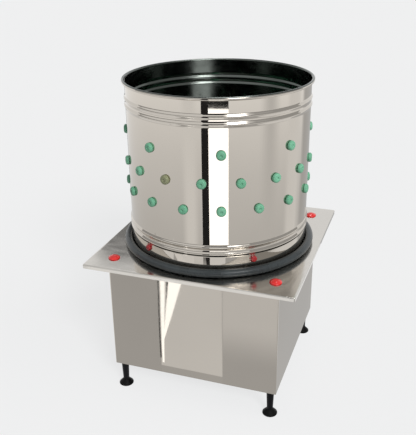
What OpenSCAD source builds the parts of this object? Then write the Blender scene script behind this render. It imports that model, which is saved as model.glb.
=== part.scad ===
// Drum poultry plucker.
// A stainless drum lined with rubber fingers stands on a square cabinet. A finger disc at the
// bottom of the drum is turned by a vertical spindle, a belt and a motor inside the cabinet.
// Millimetres, +Z up. The origin is on the floor under the drum's axis, and the front faces -Y.

/* [Drum] */
// Outer diameter of the drum wall
drum_d = 550; // [530:1:560]
// Height of the drum from the top plate to its rim
drum_h = 517; // [490:1:600]
// Thickness of the drum sheet
drum_wall = 1.5; // [1:0.1:2.5]
// Radius of the rim, which is rolled over a wire
rim_r = 5; // [4:0.5:8]
// How far a bead stands out from the wall
bead_out = 3.5; // [2:0.5:5]
// Height of one bead
bead_h = 18; // [14:1:20]
// Distance between the two beads of a pair
bead_pitch = 21; // [20:1:26]
// Depth of the middle of the upper beads below the rim
upper_beads = 64; // [50:1:80]
// Height of the middle of the lower beads above the top plate
lower_beads = 77; // [74:1:90]
// Outer diameter of the seal ring's round section
seal_ring_d = 25; // [18:1:28]

/* [Drum mounting] */
// Angle of the drum bolts' middle line from the front
lug_turn = 4.5; // [0:0.5:10]
// Angle from that line to each bolt
lug_spread = 35; // [25:1:45]
// Width of a lug
lug_w = 40; // [30:1:50]
// Height of a lug above the top plate
lug_h = 60; // [56:1:66]
// Depth of a lug's foot on the top plate
lug_foot = 20; // [16:1:21]
// Thickness of a lug
lug_t = 4; // [3:0.5:6]
// Height of the drum bolts above the top plate
drum_bolt_h = 45; // [42:1:46]
// Thread of the drum bolts and plate bolts
frame_bolt_d = 8; // [6:1:8]

/* [Fingers] */
// Fingers in the top row
top_row_n = 8; // [6:1:12]
// Fingers in the middle row and in the bottom row
low_row_n = 16; // [10:1:16]
// Angle of the top row's and bottom row's first finger
finger_turn = 19.9; // [0:0.1:22]
// Height of the top row above the top plate
top_row_h = 360; // [350:1:400]
// Height of the middle row above the top plate
middle_row_h = 278; // [265:1:290]
// Height of the bottom row above the top plate
bottom_row_h = 198; // [196:1:215]
// Diameter of a finger's head
head_d = 28; // [25:1:32]
// Thickness of the head
head_t = 10; // [7:0.5:12]
// Radius of the head's rounded edge
head_round = 6.5; // [3:0.5:7]
// Diameter of the dimple in the head
dimple_d = 9; // [5:0.5:11]
// Depth of the dimple
dimple_h = 2.5; // [1:0.5:4]
// Diameter of the holes that hold the fingers
finger_hole_d = 20; // [16:0.5:22]
// Diameter of the collar behind the sheet
collar_d = 25; // [23:0.5:27]
// Length of the collar
collar_h = 5; // [3:0.5:8]
// Length of a finger beyond the sheet
finger_len = 86; // [70:1:90]
// Diameter of the finger at the collar, between its ribs
finger_root_d = 20; // [16:0.5:22]
// Diameter of the finger at its tip
finger_tip_d = 12; // [9:0.5:14]
// Length of the rounded tip
finger_tip_h = 5; // [3:0.5:6]
// Ribs on a finger
finger_ribs = 8; // [5:1:12]
// How far a rib stands out
rib_out = 1.4; // [0.8:0.1:2]

/* [Plucking disc] */
// Gap between the disc and the drum wall
disc_gap = 11; // [8:0.5:18]
// Height of the disc's face above the top plate
disc_h = 80; // [76:1:86]
// Thickness of the disc
disc_t = 3; // [2:0.5:5]
// Depth of the disc's turned-down edge, from its face
disc_edge = 13; // [8:1:14]
// Radius of the inner ring of fingers
inner_ring_r = 100; // [92:1:115]
// Fingers in the inner ring
inner_ring_n = 6; // [4:1:8]
// Radius of the middle ring of fingers
middle_ring_r = 160; // [150:1:175]
// Fingers in the middle ring
middle_ring_n = 12; // [8:1:16]
// Radius of the outer ring of fingers
outer_ring_r = 222; // [210:1:232]
// Fingers in the outer ring
outer_ring_n = 16; // [12:1:20]

/* [Hub and spindle] */
// Diameter of the hub's flange
hub_flange_d = 124; // [115:1:140]
// Thickness of the hub's flange
hub_flange_t = 12; // [9:1:16]
// Diameter of the hub's boss
hub_boss_d = 60; // [50:1:70]
// Length of the hub below the disc
hub_len = 62; // [50:1:66]
// Inner diameter of the hub's splash skirt
skirt_d = 104; // [96:1:106]
// Thickness of the splash skirt
skirt_t = 3; // [2:0.5:4]
// How far the skirt hangs over the bearing housing
skirt_lap = 14; // [8:1:20]
// Radius of the circle of hub bolts
hub_bolt_r = 42; // [39:1:44]
// Thread of the hub bolts and motor bolts
drive_bolt_d = 8; // [6:1:10]
// Diameter of the spindle at the hub and pulley
seat_d = 28; // [24:1:29]
// Diameter of the spindle between its bearings
shoulder_d = 36; // [34:1:38]
// Diameter of the washer on top of the disc
disc_washer_d = 52; // [44:1:60]
// Thickness of the washer on top of the disc
disc_washer_t = 4; // [2:0.5:6]
// Radius of the dome on the spindle's nut
nut_dome_r = 15; // [12:0.5:15.5]
// Thread at the top of the spindle
spindle_thread_d = 20; // [16:1:22]
// Width of a key
key_w = 8; // [6:1:10]
// Height of a key
key_h = 7; // [6:0.5:8]
// Length of a key
key_len = 36; // [25:1:40]

/* [Bearings] */
// Bore of a bearing
bearing_bore_d = 30; // [30:0.5:31]
// Outer diameter of a bearing
bearing_od = 62; // [58:0.5:64]
// Width of a bearing
bearing_w = 16; // [14:0.5:18]
// Wall of a bearing's rings
race_wall = 4.5; // [3.5:0.5:5]
// Thickness of a bearing's shields
shield_t = 1.5; // [1:0.5:2]
// Balls in a bearing
ball_n = 9; // [7:1:10]
// Outer diameter of the bearing housing
housing_d = 84; // [80:1:90]
// Diameter of the housing's flange
housing_flange_d = 150; // [140:1:160]
// Thickness of the housing's flange
housing_flange_t = 14; // [10:1:18]
// Wall that stops the bearings in the housing
housing_stop = 5; // [3:0.5:6]
// Depth of the housing's top below the top plate's face
housing_drop = 11; // [8:1:16]
// Height of the lower bearing above the drive plate
low_bearing_h = 8; // [6:1:20]
// Room for the rubber seal on top of the upper bearing
spindle_seal_h = 8; // [6:1:10]
// Radius of the circle of housing bolts
housing_bolt_r = 58; // [56:1:60]
// Thread of the housing bolts
housing_bolt_d = 10; // [8:1:12]

/* [Top plate] */
// Width of the square top plate
plate_w = 644; // [634:1:700]
// Height of the top plate's face above the floor
plate_z = 463; // [460:1:500]
// Thickness of the top plate
plate_t = 2; // [1.5:0.1:4]
// Depth of the plate's folded edge
plate_lip = 12; // [8:1:25]
// Radius of the plate's corners
plate_corner_r = 5; // [3:0.5:12]
// Width of the plate's ledge inside the drum
plate_ledge = 23.5; // [22:0.5:30]
// Distance of the plate bolts from the cabinet's outer faces
plate_bolt_in = 14; // [13:0.5:19]
// Diameter of a plate bolt cap
cap_d = 36; // [30:1:40]
// Height of a plate bolt cap's straight edge
cap_edge = 2.5; // [1:0.5:4]
// Height of a plate bolt cap
cap_h = 9; // [8:0.5:14]
// Wall of the caps
cap_wall = 1.6; // [1:0.1:2.5]

/* [Cabinet] */
// Outer width of the square cabinet
cabinet_w = 530; // [524:1:540]
// Height of the cabinet's lower edge above the floor
cabinet_z = 89; // [80:1:95]
// Thickness of the cabinet sheet
skin_t = 1.5; // [1:0.1:2]
// Outer radius of the cabinet's bent corners
corner_r = 5; // [3:0.5:6]
// Width of the corner posts' legs
post_w = 40; // [36:1:44]
// Thickness of the posts and angle rails
post_t = 3; // [3:0.5:4]
// Thickness of the top rails
top_rail_t = 4; // [3:0.5:5]
// Width of the rails
rail_w = 30; // [28:1:36]
// Thickness of the plates in the ends of the posts
post_end_t = 6; // [4:0.5:8]
// Thread of the panel screws
screw_d = 4.5; // [3.5:0.5:5]
// Diameter of the screws' heads
screw_head_d = 9; // [7:0.5:10]
// Height of the screws' heads
screw_head_h = 2.7; // [2:0.1:4]
// Length of the rear panel's screws
screw_len = 8; // [6:1:10]

/* [Feather hopper] */
// Thickness of the hopper's sheet
hopper_t = 1.5; // [1:0.1:2]
// Depth of the hopper's floor below the top plate's face, at the spindle
hopper_drop = 90; // [85:1:95]
// Tilt of the hopper's floor
hopper_tilt = 14.5; // [12:0.5:15]
// Room between the hopper's cut corners and the plate's opening or the outlet
hopper_margin = 6; // [3:0.5:10]
// Height of the collar round the bearing housing, above the floor
collar_rise = 42; // [25:1:45]
// Width of the outlet
outlet_w = 196; // [150:1:200]
// Height of the outlet
outlet_h = 80; // [60:1:90]
// How far the outlet stands out from the rear panel
outlet_out = 45; // [20:1:50]
// Width of the frame round the outlet
outlet_frame_w = 20; // [15:1:24]
// Thickness of the frame round the outlet
outlet_frame_t = 2; // [1.5:0.5:4]

/* [Drive] */
// Height of the drive plate's face above the cabinet's lower edge
drive_h = 93; // [90:1:98]
// Thickness of the drive plate
drive_plate_t = 6; // [5:0.5:8]
// Gap between the drive plate and the outer face of the cabinet's front
drive_plate_gap = 27; // [23:1:31]
// Reach of the drive plate to the rear of the spindle
drive_plate_rear = 112; // [95:1:150]
// Depth of the belt's middle below the drive plate's face
belt_drop = 38; // [36:1:44]
// Distance of the motor's axis from the cabinet's outer faces
motor_in = 115; // [110:1:119]
// Direction of the motor from the spindle
motor_turn = 225; // [222:0.5:228]
// Gap between the rims of the two pulleys
pulley_gap = 30.5; // [24:0.5:46]
// Pitch diameter of the motor pulley
motor_pitch_d = 60; // [56:1:75]
// Width of the belt at its pitch line
belt_w = 11; // [9:0.5:14]
// Height of the belt above its pitch line
belt_above = 2.75; // [2:0.25:4]
// Depth of the belt below its pitch line
belt_below = 5.25; // [4:0.25:7]
// Slope of the belt's sides
belt_slope = 18; // [16:0.5:20]
// Depth of the pulley grooves below the pitch line
groove_below = 9; // [8:0.5:12]
// Width of the pulleys' rims
rim_w = 22; // [20:1:28]
// Thickness of the spindle pulley's rim below its groove
pulley_rim_t = 10; // [8:1:14]
// Thickness of the spindle pulley's web
pulley_web_t = 8; // [6:1:12]
// Diameter of the spindle pulley's hub
pulley_hub_d = 64; // [56:1:70]
// Length of the spindle pulley's hub above the belt's middle
pulley_hub_up = 21; // [16:1:24]
// Length of the spindle pulley's hub below the belt's middle
pulley_hub_down = 24; // [18:1:28]
// Width of the spindle pulley's web on both sides of its holes
web_margin = 16.5; // [14:0.5:27]
// Number of holes in the spindle pulley's web
web_hole_n = 5; // [4:1:5]
// Diameter of the motor pulley's hub
motor_hub_d = 42; // [36:1:46]
// Thread of the spindle's end bolt
end_bolt_d = 10; // [8:1:12]
// Diameter of the end bolt's washer
end_washer_d = 42; // [36:1:50]
// Thickness of the end bolt's washer
end_washer_t = 4; // [3:0.5:6]
// Depth of the end bolt in the spindle
end_bolt_grip = 25; // [18:1:36]

/* [Motor] */
// Diameter of the motor's body, over its fins
motor_d = 140; // [134:1:144]
// Depth of the motor's fins
fin_h = 7; // [4:0.5:9]
// Thickness of the motor's fins
fin_t = 2.5; // [2:0.5:4]
// Number of the motor's fins
fin_n = 28; // [20:1:32]
// Length of the motor's body
motor_len = 128; // [110:1:132]
// Diameter of the motor's flange
motor_flange_d = 160; // [154:1:164]
// Thickness of the motor's flange
motor_flange_t = 12; // [10:1:14]
// Diameter of the motor's spigot in the drive plate
motor_spigot_d = 100; // [90:1:104]
// Radius of the circle of motor bolts
motor_bolt_r = 66; // [64:1:68]
// Travel of the motor in its slots, each way
motor_slide = 6; // [4:1:8]
// Diameter of the motor's shaft
motor_shaft_d = 19; // [16:1:22]
// Diameter of the motor's rotor
rotor_d = 84; // [70:1:88]
// Length of the motor's rotor
rotor_len = 96; // [70:1:100]
// Thickness of the motor's rear shield
rear_shield_t = 10; // [8:1:12]
// Length of the motor's fan cover
fan_cover_len = 48; // [42:1:52]
// Thickness of the fan cover
fan_cover_t = 1.5; // [1:0.5:2.5]
// Diameter of the fan
fan_d = 116; // [90:1:122]
// Diameter of the fan's hub
fan_hub_d = 38; // [30:1:50]
// Width of the fan's blades
fan_w = 16; // [10:1:20]
// Thickness of the fan's back and blades
fan_t = 2; // [1.5:0.5:3]
// Gap between the rear shield and the fan
fan_gap = 3; // [2:0.5:5]
// Diameter of the vents in the fan cover
vent_d = 9; // [6:0.5:9]
// Rings of vents in the fan cover
vent_rings = 3; // [2:1:3]
// Number of the fan's blades
fan_n = 7; // [5:1:9]
// Width of the terminal box
terminal_w = 78; // [60:1:84]
// Depth of the terminal box
terminal_depth = 40; // [30:1:50]

/* [Feet] */
// Distance of the feet from the cabinet's outer faces
foot_in = 22; // [19:0.5:25]
// Diameter of a foot pad
pad_d = 46; // [40:1:56]
// Height of a foot pad's straight edge
pad_edge = 5; // [3:0.5:8]
// Bevel at the foot pad's lower edge
pad_bevel = 1.5; // [0.5:0.5:2.5]
// Slope of the foot pad's top
pad_slope = 45; // [35:1:55]
// Radius of the hollow curve from the foot pad's top to its neck
pad_neck_r = 10; // [6:0.5:14]
// Diameter of a foot stem at its top
stem_d = 24; // [20:1:26]
// Diameter of a foot stem and of the pad's neck, where they meet
neck_d = 19; // [16:0.5:20]
// Diameter of the screw on a foot pad
foot_screw_d = 10; // [8:1:12]
// How far a foot pad can be screwed out
foot_travel = 20; // [10:1:24]
// Thread that stays in the stem when a foot pad is screwed right out
foot_screw_hold = 30; // [20:1:34]
// Diameter of the stud on top of a foot stem
foot_stud_d = 12; // [10:1:12]

/* [Switch] */
// Distance of the switch box from the middle, towards the front
switch_at = 110; // [80:1:130]
// Depth of the switch box's middle below the top plate's face
switch_drop = 123; // [110:1:160]
// Width of the switch box
switch_w = 60; // [50:1:70]
// Height of the switch box
switch_h = 100; // [90:1:120]
// Depth of the switch box
switch_depth = 42; // [36:1:46]
// Wall of the switch box
switch_wall = 2.5; // [2:0.5:4]
// Height of the ears that hold the switch box
ear_h = 14; // [11:1:18]
// Distance between the two buttons
button_pitch = 44; // [34:1:50]
// Diameter of a button
button_d = 22; // [18:1:26]
// How far a button stands out
button_out = 7; // [5:0.5:9]
// How far a button is pressed in
button_travel = 4; // [2:0.5:5]
// Diameter of the cable gland's thread
gland_d = 20; // [16:1:20]
// Bore of the cable gland
gland_bore_d = 9; // [6:0.5:12]

/* [Clearances] */
// Gap round a close fit, on the radius
fit = 0.05; // [0.02:0.01:0.1]
// Gap between a turning piece and a fixed one
running_gap = 0.3; // [0.2:0.05:0.6]
// Gap round a bolt in its hole, on the radius
bolt_gap = 0.3; // [0.2:0.05:0.6]
// Gap beside rubber and loose sheet
soft_gap = 0.3; // [0.1:0.05:0.5]

/* [Hidden] */
$fn = 64;
steel = [0.75, 0.73, 0.70];
dark_steel = [0.45, 0.45, 0.46];
rubber_green = [0.36, 0.66, 0.49];
cap_red = [0.76, 0.10, 0.10];
black = [0.10, 0.10, 0.11];
motor_grey = [0.42, 0.46, 0.50];

// Through cuts run past both faces by this much
over = 2;
// Thread that shows past a nut or sheet
thread_end = 2;
// Bolts in each circle of bolts, and the angle of the first
circle_bolts = 4;
circle_turn = 45;
// Segments along one bead and along the belt on one pulley
bead_steps = 8;
belt_steps = 48;
// Degrees between the points of a rounded edge
arc_step = 22.5;
// Steps of a dome or of a foot pad's hollow curve
dome_steps = 4;

// Drum
drum_r = drum_d / 2;
drum_in_r = drum_r - drum_wall;
lower_bead_mids = [lower_beads - bead_pitch / 2, lower_beads + bead_pitch / 2];
upper_bead_mids = [drum_h - upper_beads - bead_pitch / 2, drum_h - upper_beads + bead_pitch / 2];
bead_mids = concat(lower_bead_mids, upper_bead_mids);
front = 270;
lug_angles = [for (side = [0, 180], way = [-1, 1]) front + lug_turn + side + way * lug_spread];
lug_span = 2 * asin(lug_w / 2 / drum_in_r);
lug_out_r = drum_in_r - soft_gap;
lug_in_r = lug_out_r - lug_t;
seal_r = seal_ring_d / 2;

// Fingers
head_r = head_d / 2;
collar_r = collar_d / 2;
row_step = 360 / low_row_n;
wall_sag = drum_in_r - sqrt(drum_in_r * drum_in_r - collar_r * collar_r);
drum_grip = drum_wall + wall_sag + 2 * fit;
disc_grip = disc_t + 2 * fit;
rib_pitch = (finger_len - collar_h - finger_tip_h) / finger_ribs;
rib_rise = 0.3;
rib_flat = 0.25;
rib_fall = 0.25;

// Frame and cabinet
half_w = cabinet_w / 2;
inner_w = half_w - skin_t;
plate_bolt_at = half_w - plate_bolt_in;
foot_at = half_w - foot_in;
post_in = inner_w - post_w;
post_face = inner_w - post_t;
plate_under = plate_z - plate_t;
plate_opening_r = drum_in_r - plate_ledge;
drive_z = cabinet_z + drive_h;
drive_rail_z = drive_z - drive_plate_t;
bolt_hole_d = frame_bolt_d + 2 * bolt_gap;
gusset_z = plate_under - post_end_t;

// Spindle, bearings and disc
disc_z = plate_z + disc_h;
disc_under = disc_z - disc_t;
disc_r = drum_in_r - disc_gap;
hub_z = disc_under - hub_len;
housing_top = plate_z - housing_drop;
housing_r = housing_d / 2;
housing_bore_r = bearing_od / 2 + fit;
low_bearing_z = drive_z + low_bearing_h;
up_bearing_z = housing_top - spindle_seal_h - bearing_w;
journal_r = bearing_bore_d / 2 - fit;
inner_race_r = bearing_bore_d / 2 + race_wall;
outer_race_r = bearing_od / 2 - race_wall;
ball_r = (outer_race_r - inner_race_r) / 2 - 2 * fit;
seat_r = seat_d / 2;
thread_r = spindle_thread_d / 2;
nut_z = disc_z + disc_washer_t + fit;
spindle_top = nut_z + nut_h(spindle_thread_d);
hub_key_z = hub_z + (hub_len - key_len) / 2;
hub_bolt_len = disc_t + hub_flange_t - over;

// Drive
belt_z = drive_z - belt_drop;
belt_centres = sqrt(2) * (half_w - motor_in);
motor_pulley_r = motor_pitch_d / 2;
pulley_r = belt_centres - motor_pulley_r - 2 * belt_above - pulley_gap;
pulley_rim_in_r = pulley_r - groove_below - pulley_rim_t;
web_hole_d = pulley_rim_in_r - pulley_hub_d / 2 - 2 * web_margin;
wrap_angle = acos((pulley_r - motor_pulley_r) / belt_centres);
pulley_foot = belt_z - pulley_hub_down;
pulley_key_z = belt_z - key_len / 2;
spindle_foot = pulley_foot + over;
drive_plate_front = half_w - drive_plate_gap;
drive_bolt_x = inner_w - rail_w / 2 - post_t / 2;
drive_bolt_ys = [-drive_plate_front + rail_w, drive_plate_rear - rail_w];

// Motor
motor_body_z = drive_z + motor_flange_t;
motor_top_z = motor_body_z + motor_len;
motor_r = motor_d / 2;
motor_core_r = motor_r - fin_h;
motor_bore_r = motor_shaft_d / 2 + running_gap;
rotor_z = motor_body_z + (motor_len - rotor_len) / 2;
fan_z = motor_top_z + rear_shield_t + fan_gap;
motor_shaft_foot = belt_z - rim_w / 2 + fit;
motor_shaft_top = fan_z + fan_w;
terminal_z = motor_body_z + (motor_len - terminal_w) / 2;

// Feather hopper
hopper_w = inner_w - top_rail_t - soft_gap;
hopper_cut = max(plate_opening_r, (hopper_w + outlet_w / 2) / sqrt(2)) + hopper_margin;
hopper_z = plate_z - hopper_drop;
hopper_lift = hopper_t / cos(hopper_tilt);
far = 2 * plate_w;
outlet_low = hopper_z - (half_w + outlet_frame_t) * tan(hopper_tilt) - soft_gap;
outlet_high = hopper_z - inner_w * tan(hopper_tilt) + outlet_h / cos(hopper_tilt) + soft_gap;
outlet_hole_w = outlet_w + 2 * soft_gap;

// Feet and switch
foot_screw_len = foot_travel + foot_screw_hold;
neck_out = pad_neck_r * (1 - cos(pad_slope));
pad_slope_h = (pad_d / 2 - neck_d / 2 - neck_out) * tan(pad_slope) + pad_edge;
pad_h = pad_slope_h + pad_neck_r * sin(pad_slope);
stem_foot = pad_h + fit;
stem_bore_top = stem_foot + foot_screw_len + thread_end;
stud_top = cabinet_z + post_end_t + nut_h(foot_stud_d) + thread_end;
switch_z = plate_z - switch_drop;
switch_face = -half_w - switch_depth;
gland_z = switch_z - switch_h / 2;
gland_r = gland_d / 2;
gland_x = -half_w - switch_depth / 2;
gland_hex_h = 8;
gland_nut_h = 16;
gland_hex_r = gland_r + 3;
gland_nut_r = gland_r + 1;

// Standard hexagon sizes from a thread diameter
function hex_r(d) = 0.94 * d;
function hex_head_h(d) = 0.65 * d;
function nut_h(d) = 0.8 * d;

module hex_bolt(d, len) {
    cylinder(r = hex_r(d), h = hex_head_h(d), $fn = 6);
    translate([0, 0, -len]) cylinder(d = d, h = len);
}

module hex_nut(d) {
    difference() {
        cylinder(r = hex_r(d), h = nut_h(d), $fn = 6);
        translate([0, 0, -over]) cylinder(d = d + 2 * fit, h = nut_h(d) + 2 * over);
    }
}

module tube(r_out, r_in, h) {
    difference() {
        cylinder(r = r_out, h = h);
        translate([0, 0, -over]) cylinder(r = r_in, h = h + 2 * over);
    }
}

module ring_of(n, r, turn = 0) {
    for (i = [0:n - 1]) rotate([0, 0, turn + i * 360 / n]) translate([r, 0, 0]) children();
}

module at_corners(at) {
    for (x = [-at, at], y = [-at, at]) translate([x, y, 0]) children();
}

// A square that reaches from the front to a chosen rear line, with round front corners
module front_rounded(w, r, rear) {
    translate([-w + r, -w]) square([2 * (w - r), w + rear]);
    translate([-w, -w + r]) square([2 * w, w - r + rear]);
    for (x = [-w + r, w - r]) translate([x, -w + r]) circle(r);
}

module rounded_square(w, r) {
    square([2 * w, 2 * (w - r)], center = true);
    square([2 * (w - r), 2 * w], center = true);
    for (x = [-w + r, w - r], y = [-w + r, w - r]) translate([x, y]) circle(r);
}

// Drum wall: how far the beads push the sheet out at a height
function bead_at(z, mid) =
    abs(z - mid) < bead_h / 2 ? bead_out * (1 + cos(360 * (z - mid) / bead_h)) / 2 : 0;
function wall_out(z) = bead_at(z, bead_mids[0]) + bead_at(z, bead_mids[1])
    + bead_at(z, bead_mids[2]) + bead_at(z, bead_mids[3]);
wall_heights = concat([0], [
    for (mid = bead_mids, i = [0:bead_steps]) mid - bead_h / 2 + i * bead_h / bead_steps
]);
rim_start = -acos((drum_wall - rim_r) / rim_r);
rim_steps = ceil((180 - rim_start) / arc_step);
function rim_point(i) =
    let (a = rim_start + i * (180 - rim_start) / rim_steps)
    [drum_in_r + rim_r + rim_r * cos(a), drum_h - rim_r + rim_r * sin(a)];
wall_last = len(wall_heights) - 1;
drum_profile = concat(
    [for (z = wall_heights) [drum_r + wall_out(z), z]],
    [for (i = [0:rim_steps]) rim_point(i)],
    [for (i = [wall_last:-1:0]) [drum_in_r + wall_out(wall_heights[i]), wall_heights[i]]]
);

// One row of places on the drum, with Z pointing to the axis
module at_row(n, turn, h) {
    ring_of(n, drum_r, turn) translate([0, 0, plate_z + h]) rotate([0, -90, 0]) children();
}

module at_drum_bolts() {
    for (a = lug_angles) {
        rotate([0, 0, a]) translate([drum_r, 0, plate_z + drum_bolt_h]) rotate([0, -90, 0]) children();
    }
}

module at_all_rows() {
    at_row(top_row_n, finger_turn, top_row_h) children();
    at_row(low_row_n, finger_turn - row_step / 2, middle_row_h) children();
    at_row(low_row_n, finger_turn, bottom_row_h) children();
}

module drum() {
    color(steel) difference() {
        translate([0, 0, plate_z]) rotate_extrude() polygon(drum_profile);
        at_all_rows() translate([0, 0, -over]) cylinder(d = finger_hole_d, h = drum_wall + 2 * over);
        at_drum_bolts() translate([0, 0, -over]) cylinder(d = bolt_hole_d, h = drum_wall + 2 * over);
    }
}

// Rubber finger along Z, with the sheet gripped between 0 and grip
function finger_r(share) = (finger_root_d + (finger_tip_d - finger_root_d) * share) / 2;
function rib_points(i, z) = [
    [finger_r(i / finger_ribs), z],
    [finger_r(i / finger_ribs) + rib_out, z + rib_rise * rib_pitch],
    [finger_r(i / finger_ribs) + rib_out, z + (rib_rise + rib_flat) * rib_pitch],
    [finger_r((i + 1) / finger_ribs), z + (rib_rise + rib_flat + rib_fall) * rib_pitch]
];
function finger_profile(grip) = concat(
    [[0, dimple_h - head_t], [dimple_d / 2, -head_t]],
    [for (a = [-90:arc_step:0])
        [head_r - head_round + head_round * cos(a), head_round - head_t + head_round * sin(a)]],
    [[head_r, 0], [finger_hole_d / 2 - fit, 0], [finger_hole_d / 2 - fit, grip]],
    [[collar_r, grip], [collar_r, grip + collar_h]],
    [for (i = [0:finger_ribs - 1]) each rib_points(i, grip + collar_h + i * rib_pitch)],
    [for (a = [0:arc_step:90])
        [finger_tip_d / 2 * cos(a), grip + finger_len - finger_tip_h + finger_tip_h * sin(a)]]
);

module finger(grip) {
    rotate_extrude() polygon(finger_profile(grip));
}

module drum_row(n, turn, h) {
    color(rubber_green) at_row(n, turn, h) translate([0, 0, -fit]) finger(drum_grip);
}

module top_row_fingers() {
    drum_row(top_row_n, finger_turn, top_row_h);
}

module middle_row_fingers() {
    drum_row(low_row_n, finger_turn - row_step / 2, middle_row_h);
}

module bottom_row_fingers() {
    drum_row(low_row_n, finger_turn, bottom_row_h);
}

module disc_ring(n, r) {
    color(rubber_green) translate([0, 0, disc_under - fit]) ring_of(n, r) finger(disc_grip);
}

module disc_inner_fingers() {
    disc_ring(inner_ring_n, inner_ring_r);
}

module disc_middle_fingers() {
    disc_ring(middle_ring_n, middle_ring_r);
}

module disc_outer_fingers() {
    disc_ring(outer_ring_n, outer_ring_r);
}

// Lugs on the top plate hold the drum by one bolt each
module drum_lugs() {
    section = [
        [lug_out_r - lug_foot, 0], [lug_out_r, 0], [lug_out_r, lug_h],
        [lug_in_r, lug_h], [lug_in_r, lug_t], [lug_out_r - lug_foot, lug_t]
    ];
    color(steel) difference() {
        for (a = lug_angles) {
            translate([0, 0, plate_z]) rotate([0, 0, a - lug_span / 2])
                rotate_extrude(angle = lug_span) polygon(section);
        }
        at_drum_bolts() cylinder(d = bolt_hole_d, h = drum_wall + soft_gap + lug_t + over);
    }
}

module drum_bolts() {
    nut_seat = drum_r - sqrt(pow(lug_in_r, 2) - pow(hex_r(frame_bolt_d), 2)) + fit;
    bolt_len = nut_seat + nut_h(frame_bolt_d) + over;
    color(steel) at_drum_bolts() {
        translate([0, 0, -fit]) rotate([180, 0, 0]) hex_bolt(frame_bolt_d, bolt_len);
        translate([0, 0, nut_seat]) hex_nut(frame_bolt_d);
    }
}

// A hollow cap that stands on its rim, with a rounded edge on top
module bolt_cap(r, h, hollow_r, hollow_h) {
    round_r = r - hollow_r + cap_wall;
    rotate_extrude() polygon(concat(
        [[hollow_r, 0], [r, 0]],
        [for (a = [0:arc_step:90]) [r - round_r + round_r * cos(a), h - round_r + round_r * sin(a)]],
        [[0, h], [0, hollow_h], [hollow_r, hollow_h]]
    ));
}

module drum_bolt_caps() {
    hollow_r = hex_r(frame_bolt_d) + fit;
    hollow_h = hex_head_h(frame_bolt_d) + 2 * fit;
    color(cap_red) at_drum_bolts() translate([0, 0, -fit]) rotate([180, 0, 0])
        bolt_cap(hollow_r + cap_wall, hollow_h + cap_wall, hollow_r, hollow_h);
}

module seal_ring() {
    color(black) translate([0, 0, plate_z + soft_gap + seal_r]) rotate_extrude()
        translate([drum_r + soft_gap + seal_r, 0]) circle(seal_r);
}

module at_plate_bolts() {
    at_corners(plate_bolt_at) children();
}

module top_plate() {
    half_plate = plate_w / 2;
    color(steel) difference() {
        translate([0, 0, plate_z - plate_lip]) linear_extrude(plate_lip)
            rounded_square(half_plate, plate_corner_r);
        translate([0, 0, plate_z - plate_lip - over]) linear_extrude(plate_lip - plate_t + over)
            rounded_square(half_plate - plate_t, plate_corner_r - plate_t);
        translate([0, 0, plate_under - over])
            cylinder(r = plate_opening_r, h = plate_t + 2 * over, $fn = 128);
        at_plate_bolts() translate([0, 0, plate_under - over])
            cylinder(d = bolt_hole_d, h = plate_t + 2 * over);
    }
}

module plate_bolts() {
    color(steel) at_plate_bolts() {
        translate([0, 0, plate_z])
            hex_bolt(frame_bolt_d, plate_z - gusset_z + nut_h(frame_bolt_d) + over);
        translate([0, 0, gusset_z - nut_h(frame_bolt_d)]) hex_nut(frame_bolt_d);
    }
}

// The larger caps are low domes, hollow round the bolt heads
module plate_bolt_caps() {
    hollow_r = hex_r(frame_bolt_d) + bolt_gap;
    hollow_h = hex_head_h(frame_bolt_d) + bolt_gap;
    cap_r = cap_d / 2;
    rise = cap_h - cap_edge;
    dome_r = (pow(cap_r, 2) + pow(rise, 2)) / (2 * rise);
    dome_turn = asin(cap_r / dome_r);
    color(cap_red) at_plate_bolts() translate([0, 0, plate_z]) rotate_extrude() polygon(concat(
        [[hollow_r, 0], [cap_r, 0]],
        [for (i = [dome_steps:-1:0])
            let (a = dome_turn * i / dome_steps) [dome_r * sin(a), cap_h - dome_r * (1 - cos(a))]],
        [[0, hollow_h], [hollow_r, hollow_h]]
    ));
}

module at_hub_bolts() {
    ring_of(circle_bolts, hub_bolt_r, circle_turn) children();
}

// Plucking disc with its turned-down edge
module plucking_disc() {
    cut = disc_t + 2 * over;
    color(steel) difference() {
        translate([0, 0, disc_z - disc_edge]) cylinder(r = disc_r, h = disc_edge, $fn = 128);
        translate([0, 0, disc_z - disc_edge - over])
            cylinder(r = disc_r - disc_t, h = disc_edge - disc_t + over, $fn = 128);
        translate([0, 0, disc_under - over]) {
            cylinder(r = thread_r + bolt_gap, h = cut);
            at_hub_bolts() cylinder(d = drive_bolt_d + 2 * bolt_gap, h = cut);
            ring_of(inner_ring_n, inner_ring_r) cylinder(d = finger_hole_d, h = cut);
            ring_of(middle_ring_n, middle_ring_r) cylinder(d = finger_hole_d, h = cut);
            ring_of(outer_ring_n, outer_ring_r) cylinder(d = finger_hole_d, h = cut);
        }
    }
}

module disc_hub() {
    skirt_foot = housing_top - skirt_lap;
    color(dark_steel) difference() {
        union() {
            translate([0, 0, hub_z]) cylinder(d = hub_boss_d, h = hub_len);
            translate([0, 0, disc_under - hub_flange_t]) cylinder(d = hub_flange_d, h = hub_flange_t);
            translate([0, 0, skirt_foot]) tube(skirt_d / 2 + skirt_t, skirt_d / 2, disc_under - skirt_foot);
        }
        translate([0, 0, hub_z - over]) cylinder(r = seat_r + fit, h = hub_len + 2 * over);
        translate([0, -key_w / 2, hub_z - over])
            cube([seat_r + key_h / 2 + fit, key_w, hub_len + 2 * over]);
        at_hub_bolts() translate([0, 0, disc_z - hub_bolt_len - fit])
            cylinder(d = drive_bolt_d + 2 * fit, h = hub_bolt_len);
    }
}

module hub_bolts() {
    color(steel) at_hub_bolts() translate([0, 0, disc_z]) hex_bolt(drive_bolt_d, hub_bolt_len);
}

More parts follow.
